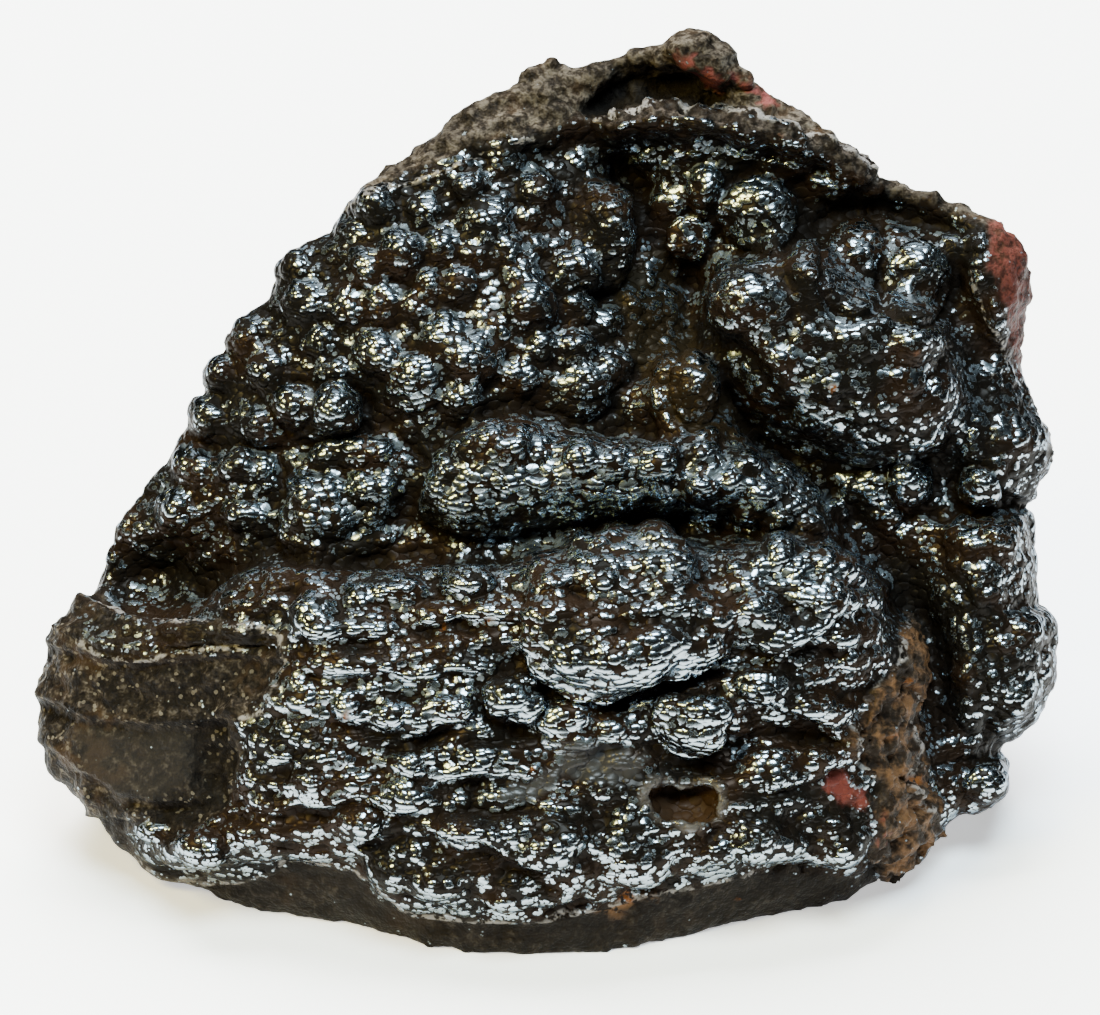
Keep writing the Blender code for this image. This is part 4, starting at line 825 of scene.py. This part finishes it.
def oreMaterial():
    f = Finish("hematiteCrustAndRock")
    c = {name: (*value, 1.0) for name, value in oreFinish.items()}
    where = f.add("ShaderNodeTexCoord", output="Object")
    wide = f.add("ShaderNodeMapping", {}, {"Vector": where, "Scale": oreTexture["beadStretch"]})
    crust, smooth = f.mask("crust"), f.mask("smoothLobe")
    small, large, shine = f.mask("creaseSmall"), f.mask("creaseLarge"), f.mask("shine")

    beads = f.beads(wide, oreTexture["beads"])
    tiny = f.beads(where, oreTexture["tinyBeads"])
    broad = f.noise(where, oreTexture["broad"], 2.0, 0.6)
    patch = f.noise(where, oreTexture["patch"], 2.0, 0.6)
    rockGrain = f.noise(where, oreTexture["rockGrain"], 2.0, 0.72)

    height = beads["dome"] * (1.0 - smooth * 0.35) * 1.2 * crust + rockGrain * 2.2 * (1.0 - crust)
    bump = f.add("ShaderNodeBump", {}, {
        "Strength": 1.0, "Distance": oreTexture["bumpDepth"], "Height": height})

    # the shine level spreads the bright flecks: partly real patchy gloss, partly painted highlight and shade
    spread = (beads["random"] - 0.5) * 0.22 + (patch - 0.5) * 0.50 + (shine - 0.5) * 0.42
    # fewer bright flecks in the creases, as painted shade
    fleck = beads["dome"] * 0.60 + tiny["dome"] * 0.40 + spread - small * 0.12 - large * 0.12
    fleck = fleck - (1.0 - crust) * 0.32             # the flecks thin out towards the broken rock
    bright = f.step(fleck, 0.70, 0.79) * (1.0 - f.mask("plates") * 0.8)
    metal = f.blend(f.step(broad, 0.42, 0.62), c["steelDull"], c["steelBrown"])
    metal = f.blend(f.mask("polished") * f.step(patch, 0.36, 0.52) * 0.8, metal, c["steelGrey"])
    metal = f.blend(bright, metal, c["steel"])
    # painted shade: the crust is darkened in small and large creases; it is also made rougher and less
    # metallic there
    dirtAndCreaseShade = (small * 0.6 + large * 0.6).smaller(0.95)
    metal = f.blend(dirtAndCreaseShade, metal, c["paintedCreaseShade"])
    metal = f.blend(f.mask("brownHollow") * 0.4, metal, c["hollowBrown"])

    # the rim term darkens the rock where it curves under the crust: painted shade
    tone = rockGrain + f.mask("crest") * 0.055 - f.mask("brokenFace") * 0.06 - f.mask("rim") * 0.04
    stops = [(0.36, oreFinish["matrixDark"]), (0.52, oreFinish["matrix"]), (0.68, oreFinish["matrixPale"])]
    rock = f.add("ShaderNodeValToRGB", {"stops": stops}, {"Fac": tone})
    rock = f.blend(f.step(broad, 0.45, 0.62) * 0.5, rock, c["matrixDark"])
    rock = f.blend(f.step(broad, 0.50, 0.36) * f.step(patch, 0.42, 0.58) * 0.6, rock, c["earth"])
    # painted shade: the hollow in the broken face is painted dark
    # painted shade: the rim is painted darker where it curves under
    for name, share, tint in (("facet", 0.6, "facet"), ("faceHollow", 0.6, "matrixDark"), ("rim", 0.7, "rim"),
                              ("rustyRidge", 0.6, "ridgeDark")):
        rock = f.blend(f.mask(name) * share, rock, c[tint])
    rock = f.blend(f.mask("rustyRidge") * f.step(patch * 0.6 + rockGrain * 0.4, 0.44, 0.62), rock, c["rust"])
    rock = f.blend(f.mask("redCrest") * f.step(patch, 0.48, 0.60), rock, c["pink"])
    rock = f.blend(f.mask("redKnob") * (0.25 + f.step(rockGrain, 0.40, 0.58) * 0.6), rock, c["red"])
    rock = f.blend(f.mask("rustSpot") * f.step(rockGrain, 0.42, 0.55), rock, c["rust"])
    rock = f.blend(f.mask("crestBand") * f.step(rockGrain, 0.42, 0.60) * 0.4, rock, c["bandPale"])
    # painted shade: the recess by the crest is painted near black
    rock = f.blend(f.mask("recess") * 0.8, rock, c["recess"])
    # painted glints: pale dots scattered over the broken rock
    paintedGlints = f.step(tiny["random"], 0.90, 0.97) * f.step(tiny["dome"], 0.3, 0.7) * (1.0 - f.mask("facet"))
    rock = f.blend(paintedGlints * (1.0 - f.mask("rim")) * (f.mask("brokenFace") * 0.5 + 0.06), rock, c["paintedGlint"])
    # painted shade: the rock is darkened in large hollows
    rock = f.blend(large * 0.7, rock, c["matrixDark"])
    shown = crust.larger(bright)
    colour = f.blend(shown, rock, metal)
    colour = f.blend(f.mask("plates") * 0.8, colour, c["plates"])
    colour = f.blend(f.mask("pit") * 0.85, colour, c["pit"])
    colour = f.blend(f.mask("pitRim") * f.step(patch, 0.3, 0.5), colour, c["pitRim"])
    edges = f.step(f.mask("seam"), 0.40, 0.85) * f.step(rockGrain, 0.43, 0.55)
    colour = f.blend(edges * 0.9, colour, c["seam"])
    colour = f.blend(f.mask("speck") * f.step(rockGrain, 0.44, 0.54), colour, c["speck"])
    colour = f.blend(f.mask("redPatch") * f.step(patch, 0.45, 0.58), colour, c["red"])

    dull = f.mask("redPatch").larger(f.mask("speck")).larger(f.mask("pit"))
    metallic = shown * (0.35 + bright * 0.65) * (1.0 - dirtAndCreaseShade * 0.6) * (1.0 - dull * 0.9)
    roughness = 0.58 - crust * 0.28 - bright * crust * 0.10 + dirtAndCreaseShade * 0.20
    shader = f.add("ShaderNodeBsdfPrincipled", {}, {
        "Base Color": colour, "Metallic": metallic, "Roughness": roughness, "Normal": bump,
        "Specular IOR Level": 0.1, "Specular Tint": (0.35, 0.35, 0.37, 1.0)})
    f.add("ShaderNodeOutputMaterial", {}, {"Surface": shader})
    return f.material


floorFinish = {"size": 3.0, "near": (0.90, 0.905, 0.91, 1.0), "far": (0.10, 0.095, 0.09, 1.0),
               "middle": (0.0, -0.12, 0.0), "reach": (0.19, 0.28), "roughness": 0.8, "glow": 0.85}


def buildFloor():
    deselectAll()
    bpy.ops.mesh.primitive_plane_add(size=floorFinish["size"], location=(0.0, 0.0, 0.0))
    floor = bpy.context.view_layer.objects.active
    floor.name = "studioFloor"
    f = Finish("paleFloor")
    where = f.add("ShaderNodeTexCoord", output="Object")
    moved = f.add("ShaderNodeVectorMath", {"operation": "ADD"}, {0: where, 1: floorFinish["middle"]})
    away = f.add("ShaderNodeVectorMath", {"operation": "LENGTH"}, {0: moved}, output="Value")
    colour = f.blend(f.step(away, *floorFinish["reach"]), floorFinish["near"], floorFinish["far"])
    shader = f.add("ShaderNodeBsdfPrincipled", {}, {
        "Base Color": colour, "Roughness": floorFinish["roughness"], "Specular IOR Level": 0.0,
        "Emission Color": colour, "Emission Strength": floorFinish["glow"]})
    f.add("ShaderNodeOutputMaterial", {}, {"Surface": shader})
    floor.data.materials.append(f.material)


studio = {
    "world": (0.016, 0.014, 0.012),
    "aim": (0.0, 0.0, 0.04),
    "lights": [
        # name, azimuth, elevation, distance, width, height, power, colour
        ("overhead", -168.0, 58.0, 1.0, 0.8, 0.7, 62.0, (0.97, 0.99, 1.0)),
        ("key", 20.0, 70.0, 1.1, 0.52, 0.42, 30.0, (0.74, 0.92, 1.0)),
        ("sheen", 180.0, 62.0, 1.2, 1.0, 0.6, 2.6, (0.88, 0.95, 1.0)),
        ("warm", -52.0, 46.0, 1.1, 0.40, 0.36, 20.0, (1.0, 0.82, 0.26)),
    ],
}


def aimAt(thing, target):
    direction = Vector(target) - thing.location
    thing.rotation_euler = direction.to_track_quat("-Z", "Y").to_euler()


def buildLights():
    for name, azimuth, elevation, distance, width, height, power, colour in studio["lights"]:
        turn, tilt = math.radians(azimuth), math.radians(elevation)
        deselectAll()
        bpy.ops.object.light_add(type="AREA", location=(
            distance * math.sin(turn) * math.cos(tilt), -distance * math.cos(turn) * math.cos(tilt),
            studio["aim"][2] + distance * math.sin(tilt)))
        lamp = bpy.context.view_layer.objects.active
        lamp.name = name
        lamp.data.shape = "RECTANGLE"
        lamp.data.size = width
        lamp.data.size_y = height
        lamp.data.energy = power
        lamp.data.color = colour
        lamp.visible_glossy = name != "overhead"
        aimAt(lamp, studio["aim"])
    world = bpy.data.worlds.new("studio")
    bpy.context.scene.world = world
    world.use_nodes = True
    world.node_tree.nodes["Background"].inputs["Color"].default_value = (*studio["world"], 1.0)
    world.node_tree.nodes["Background"].inputs["Strength"].default_value = 1.0


cameraSet = {"distance": 750.0, "frameWidth": 118.8, "pictureMiddle": 48.546, "sensor": 36.0}   # millimetres


def buildCamera():
    lean, shift, middle = crustFrame["lean"], crustFrame["shift"], crustFrame["middle"]
    target = Vector((-shift[0], middle * math.sin(lean) - shift[1], middle * math.cos(lean) - shift[2]))
    back = Vector((0.0, -math.cos(lean), math.sin(lean)))
    deselectAll()
    bpy.ops.object.camera_add(location=(target + back * cameraSet["distance"]) * mm,
                              rotation=(math.pi / 2.0 - lean, 0.0, 0.0))
    camera = bpy.context.view_layer.objects.active
    camera.name = "photoCamera"
    camera.data.sensor_width = cameraSet["sensor"]
    camera.data.sensor_fit = "HORIZONTAL"
    camera.data.lens = cameraSet["sensor"] * cameraSet["distance"] / cameraSet["frameWidth"]
    camera.data.shift_y = (cameraSet["pictureMiddle"] - middle) / cameraSet["frameWidth"]
    camera.data.clip_start = 0.01
    camera.data.clip_end = 20.0
    bpy.context.scene.camera = camera


piece = buildOre()
piece.data.materials.clear()
piece.data.materials.append(oreMaterial())
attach(piece, "root")
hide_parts("hematite")
print("ore done", len(piece.data.polygons))
buildFloor()
buildLights()
buildCamera()
print("studio done")
